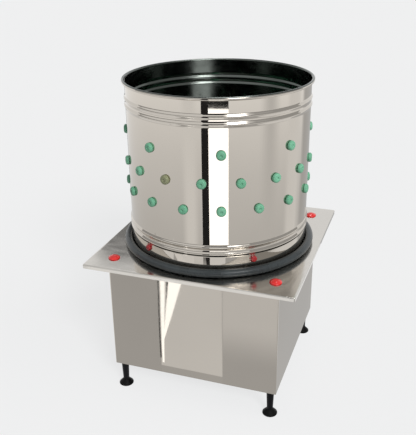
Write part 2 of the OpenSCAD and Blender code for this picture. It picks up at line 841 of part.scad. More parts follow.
// Domed nut over a washer on top of the disc
module disc_nut() {
    color(steel) {
        translate([0, 0, disc_z]) tube(disc_washer_d / 2, thread_r + bolt_gap, disc_washer_t);
        difference() {
            translate([0, 0, nut_z]) {
                cylinder(r = hex_r(spindle_thread_d), h = nut_h(spindle_thread_d), $fn = 6);
                translate([0, 0, nut_h(spindle_thread_d)]) sphere(nut_dome_r);
            }
            translate([0, 0, nut_z - over])
                cylinder(r = thread_r + fit, h = spindle_top - nut_z + over + fit);
        }
    }
}

module spindle() {
    profile = [
        [0, spindle_foot], [seat_r, spindle_foot], [seat_r, low_bearing_z],
        [journal_r, low_bearing_z], [journal_r, low_bearing_z + bearing_w],
        [shoulder_d / 2, low_bearing_z + bearing_w], [shoulder_d / 2, up_bearing_z],
        [journal_r, up_bearing_z], [journal_r, hub_z], [seat_r, hub_z],
        [seat_r, disc_under - fit], [thread_r, disc_under - fit], [thread_r, spindle_top], [0, spindle_top]
    ];
    color(steel) difference() {
        rotate_extrude() polygon(profile);
        for (z = [hub_key_z, pulley_key_z]) {
            translate([seat_r - key_h / 2, -key_w / 2, z - fit]) cube([key_h, key_w, key_len + 2 * fit]);
        }
        translate([0, 0, spindle_foot - over])
            cylinder(d = end_bolt_d + 2 * fit, h = end_bolt_grip + 2 * over);
    }
}

module spindle_keys() {
    color(dark_steel) for (z = [hub_key_z, pulley_key_z]) {
        translate([seat_r - key_h / 2 + fit, fit - key_w / 2, z])
            cube([key_h - fit, key_w - 2 * fit, key_len]);
    }
}

module at_housing_bolts() {
    ring_of(circle_bolts, housing_bolt_r, circle_turn) children();
}

module bearing_housing() {
    foot = drive_rail_z;
    stop_r = bearing_od / 2 - housing_stop;
    color(dark_steel) difference() {
        union() {
            translate([0, 0, foot]) cylinder(r = housing_r, h = housing_top - foot);
            translate([0, 0, drive_z]) cylinder(d = housing_flange_d, h = housing_flange_t);
        }
        translate([0, 0, foot - over]) {
            cylinder(r = stop_r, h = housing_top - foot + 2 * over);
            cylinder(r = housing_bore_r, h = low_bearing_z + bearing_w - foot + over);
        }
        translate([0, 0, up_bearing_z]) cylinder(r = housing_bore_r, h = housing_top - up_bearing_z + over);
        at_housing_bolts() translate([0, 0, drive_z - over])
            cylinder(d = housing_bolt_d + 2 * bolt_gap, h = housing_flange_t + 2 * over);
    }
}

module housing_bolts() {
    bolt_len = housing_flange_t + drive_plate_t + nut_h(housing_bolt_d) + over;
    color(steel) at_housing_bolts() {
        translate([0, 0, drive_z + housing_flange_t]) hex_bolt(housing_bolt_d, bolt_len);
        translate([0, 0, drive_rail_z - nut_h(housing_bolt_d)]) hex_nut(housing_bolt_d);
    }
}

module at_bearings() {
    for (z = [low_bearing_z, up_bearing_z]) translate([0, 0, z]) children();
}

// Outer ring with both shields, which stay clear of the inner ring
module bearing_outer_rings() {
    lip_r = inner_race_r + running_gap;
    out_r = bearing_od / 2;
    color(steel) at_bearings() rotate_extrude() polygon([
        [out_r, 0], [out_r, bearing_w], [lip_r, bearing_w], [lip_r, bearing_w - shield_t],
        [outer_race_r, bearing_w - shield_t], [outer_race_r, shield_t], [lip_r, shield_t], [lip_r, 0]
    ]);
}

module bearing_inner_rings() {
    color(steel) at_bearings() tube(inner_race_r, bearing_bore_d / 2, bearing_w);
}

module bearing_balls() {
    color(steel) at_bearings() ring_of(ball_n, (inner_race_r + outer_race_r) / 2)
        translate([0, 0, bearing_w / 2]) sphere(ball_r);
}

module spindle_seal() {
    seal_h = spindle_seal_h - running_gap;
    color(black) translate([0, 0, housing_top - seal_h])
        tube(bearing_od / 2, bearing_bore_d / 2 + running_gap, seal_h);
}

// The space above the hopper's sloped floor, within its eight walls
module hopper_space(inset, lift, top) {
    intersection() {
        translate([0, 0, cabinet_z]) linear_extrude(top - cabinet_z) intersection() {
            square(2 * (hopper_w - inset), center = true);
            rotate(45) square(2 * (hopper_cut - inset), center = true);
        }
        above_floor(lift);
    }
}

module above_floor(lift) {
    translate([0, 0, hopper_z + lift]) rotate([-hopper_tilt, 0, 0])
        translate([-far / 2, -far / 2, 0]) cube(far);
}

// The outlet's duct follows the slope and is cut off upright at its end
module outlet_duct(inset, start, stop) {
    intersection() {
        translate([0, 0, hopper_z]) rotate([-hopper_tilt, 0, 0])
            translate([-outlet_w / 2 + inset, 0, inset])
                cube([outlet_w - 2 * inset, far, outlet_h - 2 * inset]);
        translate([-far / 2, start, 0]) cube([far, stop - start, far]);
    }
}

module feather_hopper() {
    collar_in = housing_r + soft_gap;
    color(steel) difference() {
        union() {
            difference() {
                hopper_space(0, 0, plate_under);
                hopper_space(hopper_t, hopper_lift, plate_z);
            }
            outlet_duct(0, hopper_w - hopper_t, half_w + outlet_out);
            intersection() {
                translate([0, 0, cabinet_z])
                    cylinder(r = collar_in + hopper_t, h = hopper_z + collar_rise - cabinet_z);
                above_floor(0);
            }
        }
        outlet_duct(hopper_t, hopper_w - outlet_out, half_w + 2 * outlet_out);
        translate([0, 0, cabinet_z]) cylinder(r = collar_in, h = plate_z - cabinet_z);
    }
}

// Flat frame that closes the gap round the outlet
module outlet_hole(extra, thick) {
    translate([-outlet_hole_w / 2 - extra, 0, outlet_low - extra])
        cube([outlet_hole_w + 2 * extra, thick, outlet_high - outlet_low + 2 * extra]);
}

module at_outlet_screws() {
    side = outlet_hole_w / 2 + outlet_frame_w / 2;
    ends = [outlet_low - outlet_frame_w / 2, outlet_high + outlet_frame_w / 2];
    for (x = [-side, 0, side], z = ends) {
        translate([x, half_w + outlet_frame_t, z]) rotate([-90, 0, 0]) children();
    }
}

module outlet_frame() {
    color(steel) difference() {
        translate([0, half_w, 0]) outlet_hole(outlet_frame_w, outlet_frame_t);
        translate([0, half_w - over, 0]) outlet_hole(0, outlet_frame_t + 2 * over);
        at_outlet_screws() screw_hole();
    }
}

module at_rear_screws() {
    side = inner_w - post_w / 2;
    heights = [cabinet_z + post_w, (cabinet_z + plate_under) / 2, plate_under - post_w];
    for (x = [-side, side], z = heights) translate([x, half_w, z]) rotate([-90, 0, 0]) children();
}

module at_switch_screws() {
    for (way = [-1, 1]) {
        translate([-half_w - switch_wall, -switch_at, switch_z + way * (switch_h + ear_h) / 2])
            rotate([0, -90, 0]) children();
    }
}

module pan_screw(len) {
    cylinder(d1 = screw_head_d, d2 = screw_head_d - screw_head_h, h = screw_head_h);
    translate([0, 0, -len]) cylinder(d = screw_d, h = len);
}

module screw_hole() {
    translate([0, 0, -screw_len - over]) cylinder(d = screw_d + 2 * fit, h = screw_len + 2 * over);
}

module panel_screws() {
    color(steel) {
        at_rear_screws() pan_screw(screw_len);
        at_outlet_screws() pan_screw(outlet_frame_t + skin_t + thread_end);
        at_switch_screws() pan_screw(switch_wall + skin_t + thread_end);
    }
}

// Cabinet: front and sides in one bent sheet, and a removable rear panel
module cabinet_wrap() {
    color(steel) difference() {
        translate([0, 0, cabinet_z]) linear_extrude(plate_under - cabinet_z) difference() {
            front_rounded(half_w, corner_r, half_w);
            front_rounded(inner_w, corner_r - skin_t, half_w + over);
        }
        at_switch_screws() screw_hole();
    }
}

module rear_panel() {
    side = inner_w - fit;
    color(steel) difference() {
        translate([-side, inner_w, cabinet_z]) cube([2 * side, skin_t, plate_under - cabinet_z]);
        translate([0, inner_w - over, 0]) outlet_hole(0, skin_t + 2 * over);
        at_rear_screws() screw_hole();
        at_outlet_screws() screw_hole();
    }
}

// Corner posts of angle steel, with a plate in each end
module corner_posts() {
    chamfer = corner_r - skin_t;
    angle_steel = [
        [post_in, inner_w], [inner_w - chamfer, inner_w], [inner_w, inner_w - chamfer], [inner_w, post_in],
        [post_face, post_in], [post_face, post_face], [post_in, post_face]
    ];
    color(dark_steel) difference() {
        for (left = [0, 1], near = [0, 1]) mirror([left, 0, 0]) mirror([0, near, 0]) {
            translate([0, 0, cabinet_z]) linear_extrude(plate_under - cabinet_z) polygon(angle_steel);
            for (z = [cabinet_z, gusset_z]) {
                translate([post_in, post_in, z]) cube([post_w - post_t, post_w - post_t, post_end_t]);
            }
        }
        at_plate_bolts() translate([0, 0, gusset_z - over])
            cylinder(d = bolt_hole_d, h = post_end_t + 2 * over);
        at_corners(foot_at) translate([0, 0, cabinet_z - over])
            cylinder(d = foot_stud_d + 2 * bolt_gap, h = post_end_t + 2 * over);
        at_rear_screws() screw_hole();
    }
}

module top_rails() {
    color(dark_steel) for (a = [0, 90, 180, 270]) rotate([0, 0, a])
        translate([-post_in, inner_w - top_rail_t, plate_under - rail_w])
            cube([2 * post_in, top_rail_t, rail_w]);
}

// Angle rail along X at the rear, with its flat leg at the bottom
module angle_rail() {
    translate([-post_in, inner_w - post_t, 0]) cube([2 * post_in, post_t, rail_w]);
    translate([-post_in, inner_w - rail_w, 0]) cube([2 * post_in, rail_w, post_t]);
}

module bottom_rails() {
    color(dark_steel) for (a = [0, 90, 180, 270]) {
        rotate([0, 0, a]) translate([0, 0, cabinet_z]) angle_rail();
    }
}

module at_drive_bolts() {
    for (x = [-drive_bolt_x, drive_bolt_x], y = drive_bolt_ys) translate([x, y, 0]) children();
}

module drive_rails() {
    color(dark_steel) difference() {
        for (a = [90, 270]) rotate([0, 0, a]) translate([0, 0, drive_rail_z]) mirror([0, 0, 1]) angle_rail();
        at_drive_bolts() translate([0, 0, drive_rail_z - post_t - over])
            cylinder(d = frame_bolt_d + 2 * bolt_gap, h = post_t + 2 * over);
    }
}

module at_motor() {
    rotate([0, 0, motor_turn]) translate([belt_centres, 0, 0]) children();
}

// A slot of a given width that lets the motor slide towards the spindle and away
module slot(d, h) {
    for (x = [-motor_slide, motor_slide]) translate([x, 0, 0]) cylinder(d = d, h = h);
    translate([-motor_slide, -d / 2, 0]) cube([2 * motor_slide, d, h]);
}

module drive_plate() {
    side = post_face - over;
    cut = drive_plate_t + 2 * over;
    color(dark_steel) difference() {
        translate([-side, -drive_plate_front, drive_rail_z])
            cube([2 * side, drive_plate_front + drive_plate_rear, drive_plate_t]);
        translate([0, 0, drive_rail_z - over]) {
            cylinder(r = housing_r + fit, h = cut);
            at_housing_bolts() cylinder(d = housing_bolt_d + 2 * bolt_gap, h = cut);
            at_drive_bolts() cylinder(d = frame_bolt_d + 2 * bolt_gap, h = cut);
            at_motor() slot(motor_spigot_d + 2 * bolt_gap, cut);
            at_motor() for (i = [0:circle_bolts - 1]) {
                a = circle_turn + i * 360 / circle_bolts;
                translate([motor_bolt_r * cos(a), motor_bolt_r * sin(a), 0])
                    slot(drive_bolt_d + 2 * bolt_gap, cut);
            }
        }
    }
}

module drive_plate_bolts() {
    bolt_len = drive_plate_t + post_t + nut_h(frame_bolt_d) + over;
    color(steel) at_drive_bolts() {
        translate([0, 0, drive_z]) hex_bolt(frame_bolt_d, bolt_len);
        translate([0, 0, drive_rail_z - post_t - nut_h(frame_bolt_d)]) hex_nut(frame_bolt_d);
    }
}

// Belt groove and belt section: half widths at a distance from the pitch line, and the outline
function groove_half(up, gap) = belt_w / 2 + up * tan(belt_slope) - gap / cos(belt_slope);

function belt_outline(above, below, gap) = [
    [above, groove_half(above, gap)], [-below, groove_half(-below, gap)],
    [-below, -groove_half(-below, gap)], [above, -groove_half(above, gap)]
];

module groove(pitch_r) {
    rotate_extrude() translate([pitch_r, 0]) polygon(belt_outline(belt_above + over, groove_below, 0));
}

module spindle_pulley() {
    rim_out_r = pulley_r + belt_above;
    color(motor_grey) difference() {
        translate([0, 0, belt_z]) difference() {
            union() {
                translate([0, 0, -rim_w / 2]) tube(rim_out_r, pulley_rim_in_r, rim_w);
                translate([0, 0, -pulley_web_t / 2]) cylinder(r = pulley_rim_in_r + over, h = pulley_web_t);
                translate([0, 0, -pulley_hub_down])
                    cylinder(d = pulley_hub_d, h = pulley_hub_down + pulley_hub_up);
            }
            groove(pulley_r);
            ring_of(web_hole_n, (pulley_rim_in_r + pulley_hub_d / 2) / 2)
                translate([0, 0, -rim_w]) cylinder(d = web_hole_d, h = 2 * rim_w);
            translate([0, 0, -rim_w - pulley_hub_down])
                cylinder(r = seat_r + fit, h = 2 * (rim_w + pulley_hub_down));
        }
        translate([0, -key_w / 2, pulley_foot - over])
            cube([seat_r + key_h / 2 + fit, key_w, pulley_hub_up + pulley_hub_down + 2 * over]);
    }
}

module pulley_end_bolt() {
    color(steel) {
        translate([0, 0, pulley_foot - end_washer_t])
            tube(end_washer_d / 2, end_bolt_d / 2 + fit, end_washer_t);
        translate([0, 0, pulley_foot - end_washer_t - fit]) rotate([180, 0, 0])
            hex_bolt(end_bolt_d, end_washer_t + end_bolt_grip);
    }
}

// Belt in its own frame, with the motor along X: rings of its section follow both pulleys
belt_corners = belt_outline(belt_above, belt_below, running_gap);
function belt_ring(x, r, a) = [
    for (c = belt_corners) [x + (r + c[0]) * cos(a), (r + c[0]) * sin(a), c[1]]
];
function belt_arc(x, r, start, turn) = [
    for (i = [0:belt_steps]) each belt_ring(x, r, start + i * turn / belt_steps)
];

module v_belt() {
    sides = len(belt_corners);
    points = concat(
        belt_arc(0, pulley_r, wrap_angle, 360 - 2 * wrap_angle),
        belt_arc(belt_centres, motor_pulley_r, -wrap_angle, 2 * wrap_angle)
    );
    rings = len(points) / sides;
    faces = [
        for (i = [0:rings - 1], j = [0:sides - 1])
            let (after = (i + 1) % rings, side = (j + 1) % sides)
            [i * sides + j, i * sides + side, after * sides + side, after * sides + j]
    ];
    color(black) rotate([0, 0, motor_turn]) translate([0, 0, belt_z]) polyhedron(points, faces);
}

module motor_pulley() {
    hub_top = rim_w;
    color(motor_grey) at_motor() translate([0, 0, belt_z]) difference() {
        union() {
            translate([0, 0, -rim_w / 2]) cylinder(r = motor_pulley_r + belt_above, h = rim_w);
            cylinder(d = motor_hub_d, h = hub_top);
        }
        groove(motor_pulley_r);
        translate([0, 0, -rim_w]) cylinder(d = motor_shaft_d + 2 * fit, h = 3 * rim_w);
    }
}

module motor_rotor() {
    color(dark_steel) at_motor() {
        translate([0, 0, motor_shaft_foot])
            cylinder(d = motor_shaft_d, h = motor_shaft_top - motor_shaft_foot);
        translate([0, 0, rotor_z]) cylinder(d = rotor_d, h = rotor_len);
    }
}

module motor_housing() {
    color(motor_grey) at_motor() translate([0, 0, motor_body_z]) linear_extrude(motor_len) difference() {
        union() {
            circle(motor_core_r);
            ring_of(fin_n, 0) translate([motor_core_r - over, -fin_t / 2]) square([fin_h + over, fin_t]);
        }
        circle(rotor_d / 2 + running_gap);
    }
}

module motor_flange() {
    color(motor_grey) at_motor() difference() {
        union() {
            translate([0, 0, drive_z]) cylinder(d = motor_flange_d, h = motor_flange_t);
            translate([0, 0, drive_rail_z]) cylinder(d = motor_spigot_d, h = drive_plate_t);
        }
        translate([0, 0, drive_rail_z - over])
            cylinder(r = motor_bore_r, h = drive_plate_t + motor_flange_t + 2 * over);
        ring_of(circle_bolts, motor_bolt_r, circle_turn) translate([0, 0, drive_z - over])
            cylinder(d = drive_bolt_d + 2 * fit, h = motor_flange_t);
    }
}

module motor_bolts() {
    color(steel) at_motor() ring_of(circle_bolts, motor_bolt_r, circle_turn) translate([0, 0, drive_rail_z])
        rotate([180, 0, 0]) hex_bolt(drive_bolt_d, drive_plate_t + motor_flange_t - over - fit);
}

module motor_rear_shield() {
    color(motor_grey) at_motor() translate([0, 0, motor_top_z])
        tube(motor_r - fan_cover_t - soft_gap, motor_bore_r, rear_shield_t);
}

module motor_fan() {
    hub_r = fan_hub_d / 2;
    color(black) at_motor() translate([0, 0, fan_z]) difference() {
        union() {
            cylinder(d = fan_d, h = fan_t);
            translate([0, 0, fan_t / 2]) linear_extrude(fan_w - fan_t / 2) {
                circle(hub_r);
                ring_of(fan_n, 0) translate([hub_r - over, -fan_t / 2]) square([fan_d / 2 - hub_r, fan_t]);
            }
        }
        translate([0, 0, -over]) cylinder(d = motor_shaft_d + 2 * fit, h = fan_w + 2 * over);
    }
}

module motor_fan_cover() {
    color(motor_grey) at_motor() translate([0, 0, motor_top_z]) difference() {
        cylinder(r = motor_r, h = fan_cover_len);
        translate([0, 0, -over]) cylinder(r = motor_r - fan_cover_t, h = fan_cover_len - fan_cover_t + over);
        for (i = [1:vent_rings]) {
            r = i * fan_d / 2 / vent_rings;
            ring_of(floor(r * PI / vent_d), r - vent_d) cylinder(d = vent_d, h = fan_cover_len + over);
        }
    }
}

module terminal_box() {
    color(motor_grey) at_motor() difference() {
        translate([-motor_r - terminal_depth, -terminal_w / 2, terminal_z])
            cube([terminal_depth + motor_r / 2, terminal_w, terminal_w]);
        translate([0, 0, terminal_z - over]) cylinder(r = motor_r + fit, h = terminal_w + 2 * over);
    }
}

// Levelling feet: fixed stems under the posts, and pads on screws
module foot_stems() {
    color(black) at_corners(foot_at) difference() {
        union() {
            translate([0, 0, stem_foot]) cylinder(d1 = neck_d, d2 = stem_d, h = cabinet_z - stem_foot);
            translate([0, 0, cabinet_z - over]) cylinder(d = foot_stud_d, h = stud_top - cabinet_z + over);
        }
        translate([0, 0, stem_foot - over])
            cylinder(d = foot_screw_d + 2 * fit, h = stem_bore_top - stem_foot + over);
    }
}

module foot_nuts() {
    color(steel) at_corners(foot_at) translate([0, 0, cabinet_z + post_end_t]) hex_nut(foot_stud_d);
}

module foot(x, y) {
    curve_x = neck_d / 2 + pad_neck_r;
    color(black) translate([x * foot_at, y * foot_at, 0]) rotate_extrude() polygon(concat(
        [[0, 0], [pad_d / 2 - pad_bevel, 0], [pad_d / 2, pad_bevel], [pad_d / 2, pad_edge]],
        [for (i = [dome_steps:-1:0])
            let (a = pad_slope * i / dome_steps) [curve_x - pad_neck_r * cos(a), pad_h - pad_neck_r * sin(a)]],
        [[foot_screw_d / 2, pad_h], [foot_screw_d / 2, pad_h + foot_screw_len], [0, pad_h + foot_screw_len]]
    ));
}

module foot_front_left() {
    foot(-1, -1);
}

module foot_front_right() {
    foot(1, -1);
}

module foot_rear_left() {
    foot(-1, 1);
}

module foot_rear_right() {
    foot(1, 1);
}

// Switch box on the left side, open towards the cabinet
module switch_box() {
    inside_w = switch_w - 2 * switch_wall;
    inside_h = switch_h - 2 * switch_wall;
    color(black) difference() {
        union() {
            translate([switch_face, -switch_at - switch_w / 2, switch_z - switch_h / 2])
                cube([switch_depth, switch_w, switch_h]);
            translate([-half_w - switch_wall, -switch_at - ear_h / 2, switch_z - switch_h / 2 - ear_h])
                cube([switch_wall, ear_h, switch_h + 2 * ear_h]);
        }
        translate([switch_face + switch_wall, -switch_at - inside_w / 2, switch_z - inside_h / 2])
            cube([switch_depth, inside_w, inside_h]);
        for (way = [-1, 1]) at_button(way) translate([0, 0, -over])
            cylinder(d = button_d + 2 * running_gap, h = switch_wall + 2 * over);
        translate([gland_x, -switch_at, gland_z - over])
            cylinder(d = gland_d + 2 * fit, h = switch_wall + 2 * over);
        at_switch_screws() screw_hole();
    }
}

// Place of a button on the box's face, with Z pointing into the box
module at_button(way) {
    translate([switch_face, -switch_at, switch_z + way * button_pitch / 2]) rotate([0, 90, 0]) children();
}

module button(way) {
    inside = switch_wall + running_gap;
    stem_h = switch_depth - inside - button_travel - running_gap;
    at_button(way) {
        translate([0, 0, -button_out]) cylinder(d = button_d, h = button_out + inside);
        translate([0, 0, inside]) cylinder(d = button_d + 2 * switch_wall, h = switch_wall);
        translate([0, 0, inside]) cylinder(d = button_d / 2, h = stem_h);
    }
}

module start_button() {
    color(rubber_green) button(1);
}

module stop_button() {
    color(cap_red) button(-1);
}

module cable_gland() {
    color(black) translate([gland_x, -switch_at, gland_z]) difference() {
        union() {
            translate([0, 0, -gland_hex_h]) cylinder(r = gland_hex_r, h = gland_hex_h, $fn = 6);
            translate([0, 0, -gland_hex_h - gland_nut_h])
                cylinder(r1 = gland_r, r2 = gland_nut_r, h = gland_nut_h);
            cylinder(d = gland_d, h = 3 * switch_wall);
            translate([0, 0, switch_wall]) cylinder(r = gland_hex_r, h = 2 * switch_wall, $fn = 6);
        }
        translate([0, 0, -gland_hex_h - gland_nut_h - over])
            cylinder(d = gland_bore_d, h = gland_hex_h + gland_nut_h + 3 * switch_wall + 2 * over);
    }
}

top_plate();
plate_bolts();
plate_bolt_caps();
drum();
drum_lugs();
drum_bolts();
drum_bolt_caps();
seal_ring();
top_row_fingers();
middle_row_fingers();
bottom_row_fingers();
plucking_disc();
disc_inner_fingers();
disc_middle_fingers();
disc_outer_fingers();
disc_hub();
hub_bolts();
disc_nut();
spindle();
spindle_keys();
bearing_housing();
housing_bolts();
bearing_outer_rings();
bearing_inner_rings();
bearing_balls();
spindle_seal();
feather_hopper();
outlet_frame();
panel_screws();
corner_posts();
top_rails();
bottom_rails();
drive_rails();
drive_plate();
drive_plate_bolts();
spindle_pulley();
pulley_end_bolt();
v_belt();
motor_pulley();
motor_rotor();
motor_housing();
motor_flange();
motor_rear_shield();
motor_fan();
motor_fan_cover();
terminal_box();
motor_bolts();
cabinet_wrap();
rear_panel();
foot_stems();
foot_nuts();
foot_front_left();
foot_front_right();
foot_rear_left();
foot_rear_right();
switch_box();
start_button();
stop_button();
cable_gland();
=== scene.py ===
import math

import bmesh
import bpy
from mathutils import Matrix, Vector


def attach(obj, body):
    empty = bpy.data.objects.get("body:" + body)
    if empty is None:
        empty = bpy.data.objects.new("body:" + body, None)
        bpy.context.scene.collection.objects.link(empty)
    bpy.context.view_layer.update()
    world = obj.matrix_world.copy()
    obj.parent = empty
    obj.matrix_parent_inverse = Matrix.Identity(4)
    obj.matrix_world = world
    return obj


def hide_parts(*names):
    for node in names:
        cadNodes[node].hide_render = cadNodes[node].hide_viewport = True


# Drum poultry plucker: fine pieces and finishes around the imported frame.
# Dictionaries hold millimetres unless a note says otherwise. Blender's own units are metres.
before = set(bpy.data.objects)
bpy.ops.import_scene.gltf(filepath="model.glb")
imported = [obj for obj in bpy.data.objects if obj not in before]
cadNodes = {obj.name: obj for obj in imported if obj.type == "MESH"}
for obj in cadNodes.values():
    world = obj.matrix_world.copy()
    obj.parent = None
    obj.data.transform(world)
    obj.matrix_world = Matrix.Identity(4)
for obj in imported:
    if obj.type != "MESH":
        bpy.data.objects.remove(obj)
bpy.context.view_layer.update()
scene = bpy.context.scene
mm = 0.001
tiny = 1e-6
print("frame loaded:", len(cadNodes), "nodes")


# Node helpers, for shaders and for geometry trees alike
def addNode(tree, kind, settings=None, inputs=None):
    node = tree.nodes.new(kind)
    for name, value in (settings or {}).items():
        setattr(node, name, value)
    for name, value in (inputs or {}).items():
        socket = next(item for item in node.inputs if item.name == name and item.enabled)
        if isinstance(value, bpy.types.NodeSocket):
            tree.links.new(value, socket)
        else:
            socket.default_value = value
    return node


def outOf(node, name=None):
    return next(item for item in node.outputs if item.enabled and name in (None, item.name))


def calc(tree, operation, *terms):
    node = addNode(tree, "ShaderNodeMath", {"operation": operation})
    for socket, term in zip(node.inputs, terms):
        if isinstance(term, bpy.types.NodeSocket):
            tree.links.new(term, socket)
        else:
            socket.default_value = term
    return node.outputs[0]


# Finishes: each takes its pattern from the object's own coordinates
def newFinish(name, colour, roughness, metallic=0.0):
    finish = bpy.data.materials.new(name)
    finish.use_nodes = True
    tree = finish.node_tree
    shader = tree.nodes["Principled BSDF"]
    shader.inputs["Base Color"].default_value = (*colour, 1)
    shader.inputs["Roughness"].default_value = roughness
    shader.inputs["Metallic"].default_value = metallic
    return finish, tree, shader


def noise(tree, scale, detail=4.0, stretch=(1, 1, 1)):
    place = addNode(tree, "ShaderNodeTexCoord")
    mapping = addNode(tree, "ShaderNodeMapping", inputs={"Vector": place.outputs["Object"], "Scale": stretch})
    grain = addNode(tree, "ShaderNodeTexNoise",
                    inputs={"Vector": outOf(mapping), "Scale": scale, "Detail": detail})
    return grain.outputs[0]


def spread(tree, source, low, high, fromLow=0.3, fromHigh=0.7):
    return outOf(addNode(tree, "ShaderNodeMapRange", inputs={
        "Value": source, "From Min": fromLow, "From Max": fromHigh, "To Min": low, "To Max": high}))


def blendColours(tree, share, first, second):
    mix = addNode(tree, "ShaderNodeMix", {"data_type": "RGBA"}, {"Factor": share})
    for name, colour in (("A", first), ("B", second)):
        socket = next(item for item in mix.inputs if item.name == name and item.enabled)
        if isinstance(colour, bpy.types.NodeSocket):
            tree.links.new(colour, socket)
        else:
            socket.default_value = (*colour, 1)
    return outOf(mix)


def emboss(tree, shader, source, strength, distance, below=None):
    inputs = {"Height": source, "Strength": strength, "Distance": distance}
    if below:
        inputs["Normal"] = below
    normal = outOf(addNode(tree, "ShaderNodeBump", inputs=inputs))
    tree.links.new(normal, shader.inputs["Normal"])
    return normal


def shade(colour, factor):
    return tuple(min(1.0, channel * factor) for channel in colour)


# Tone and gloss follow a pattern, between shares of the finish's own colour and roughness
def mottle(tree, shader, colour, pattern, dark, light):
    tone = blendColours(tree, spread(tree, pattern, 0, 1), shade(colour, dark), shade(colour, light))
    tree.links.new(tone, shader.inputs["Base Color"])


def varyGloss(tree, shader, roughness, pattern, low, high):
    tree.links.new(spread(tree, pattern, roughness * low, roughness * high), shader.inputs["Roughness"])


def polishedSheet(name, colour, roughness, streak, wave, scratch=0.06):
    finish, tree, shader = newFinish(name, colour, roughness, metallic=1.0)
    mottle(tree, shader, colour, noise(tree, scale=2.5, detail=3.0), dark=0.97, light=1.03)
    grain = noise(tree, scale=1.0, detail=6.0, stretch=streak)
    varyGloss(tree, shader, roughness, grain, low=0.7, high=1.5)
    waves = emboss(tree, shader, noise(tree, scale=5.0, detail=1.0), strength=1.0, distance=wave)
    emboss(tree, shader, grain, strength=scratch, distance=0.0004, below=waves)
    return finish


def paintedMetal(name, colour, roughness, grainScale, depth, gloss=0.5):
    finish, tree, shader = newFinish(name, colour, roughness)
    shader.inputs["Specular IOR Level"].default_value = gloss
    mottle(tree, shader, colour, noise(tree, scale=9.0, detail=5.0), dark=0.8, light=1.12)
    grain = noise(tree, scale=grainScale, detail=3.0)
    varyGloss(tree, shader, roughness, grain, low=0.85, high=1.2)
    emboss(tree, shader, grain, strength=0.35, distance=depth)
    return finish


def bareMetal(name, colour, roughness, streak):
    finish, tree, shader = newFinish(name, colour, roughness, metallic=1.0)
    grain = noise(tree, scale=1.0, detail=5.0, stretch=streak)
    mottle(tree, shader, colour, grain, dark=0.88, light=1.08)
    varyGloss(tree, shader, roughness, grain, low=0.75, high=1.35)
    emboss(tree, shader, grain, strength=0.12, distance=0.0003)
    return finish


def softRubber(name, colour, roughness, grainScale, depth, gloss=0.5):
    finish, tree, shader = newFinish(name, colour, roughness)
    shader.inputs["Specular IOR Level"].default_value = gloss
    dust = noise(tree, scale=30.0, detail=5.0)
    mottle(tree, shader, colour, dust, dark=0.82, light=1.22)
    varyGloss(tree, shader, roughness, dust, low=0.8, high=1.25)
    emboss(tree, shader, noise(tree, scale=grainScale, detail=3.0), strength=0.3, distance=depth)
    return finish


def mouldedPlastic(name, colour, roughness, coat=0.0):
    finish, tree, shader = newFinish(name, colour, roughness)
    shader.inputs["Coat Weight"].default_value = coat
    shader.inputs["Coat Roughness"].default_value = 0.08
    haze = noise(tree, scale=45.0, detail=4.0)
    mottle(tree, shader, colour, haze, dark=0.9, light=1.08)
    varyGloss(tree, shader, roughness, haze, low=0.85, high=1.2)
    emboss(tree, shader, noise(tree, scale=420.0, detail=2.0), strength=0.15, distance=0.0002)
    return finish


# Green rubber differs a little from finger to finger, and an old finger is brown
def fingerRubber(name, young, pale, old):
    finish, tree, shader = newFinish(name, young, roughness=0.42)
    shader.inputs["Specular IOR Level"].default_value = 0.4
    tone = outOf(addNode(tree, "ShaderNodeAttribute", {"attribute_name": "tone"}), "Fac")
    age = outOf(addNode(tree, "ShaderNodeAttribute", {"attribute_name": "age"}), "Fac")
    speckle = noise(tree, scale=40.0, detail=3.0)
    toneShare = calc(tree, "MULTIPLY", tone, 0.7)
    mixed = calc(tree, "ADD", toneShare, spread(tree, speckle, low=0.0, high=0.3))
    green = blendColours(tree, mixed, young, pale)
    tree.links.new(blendColours(tree, age, green, old), shader.inputs["Base Color"])
    tree.links.new(spread(tree, speckle, low=0.40, high=0.52), shader.inputs["Roughness"])
    emboss(tree, shader, noise(tree, scale=250.0, detail=2.0), strength=0.05, distance=0.0002)
    return finish


steelWarm = (0.63, 0.585, 0.525)
steelPale = (0.72, 0.69, 0.645)
steelDull = (0.50, 0.48, 0.45)
motorBlue = (0.15, 0.18, 0.21)
drumSteel = polishedSheet("drumSteel", steelWarm, roughness=0.032, streak=(6, 6, 90), wave=0.0003,
                          scratch=0.02)
# Darkened steel with a green tint for the drum's inside and the top of its rim: painted shade inside the drum
# and a painted reflection of the green fingers
drumShadeSteel = polishedSheet("drumShadeSteel", (0.115, 0.127, 0.117), roughness=0.14, streak=(30, 30, 60),
                           wave=0.0006)
plateSteel = polishedSheet("plateSteel", steelPale, roughness=0.14, streak=(12, 40, 12), wave=0.0009,
                           scratch=0.003)
lipSteel = polishedSheet("lipSteel", steelPale, roughness=0.06, streak=(12, 12, 60), wave=0.0002,
                         scratch=0.01)
cabinetSteel = polishedSheet("cabinetSteel", steelWarm, roughness=0.035, streak=(9, 9, 120), wave=0.0004,
                             scratch=0.02)
innerSteel = polishedSheet("innerSteel", steelDull, roughness=0.22, streak=(40, 40, 40), wave=0.0010)
discSteel = polishedSheet("discSteel", steelDull, roughness=0.24, streak=(60, 60, 60), wave=0.0008)
fingerGreen = fingerRubber("fingerGreen", young=(0.095, 0.29, 0.175), pale=(0.16, 0.40, 0.26),
                           old=(0.20, 0.21, 0.12))
ringRubber = softRubber("ringRubber", (0.024, 0.029, 0.031), roughness=0.28, grainScale=500.0, depth=0.0002)
padRubber = softRubber("padRubber", (0.003, 0.003, 0.003), roughness=0.45, grainScale=700.0, depth=0.0002,
                       gloss=0.12)
beltRubber = softRubber("beltRubber", (0.018, 0.018, 0.018), roughness=0.62, grainScale=900.0, depth=0.0003)
capRed = mouldedPlastic("capRed", (0.62, 0.018, 0.016), roughness=0.22, coat=0.6)
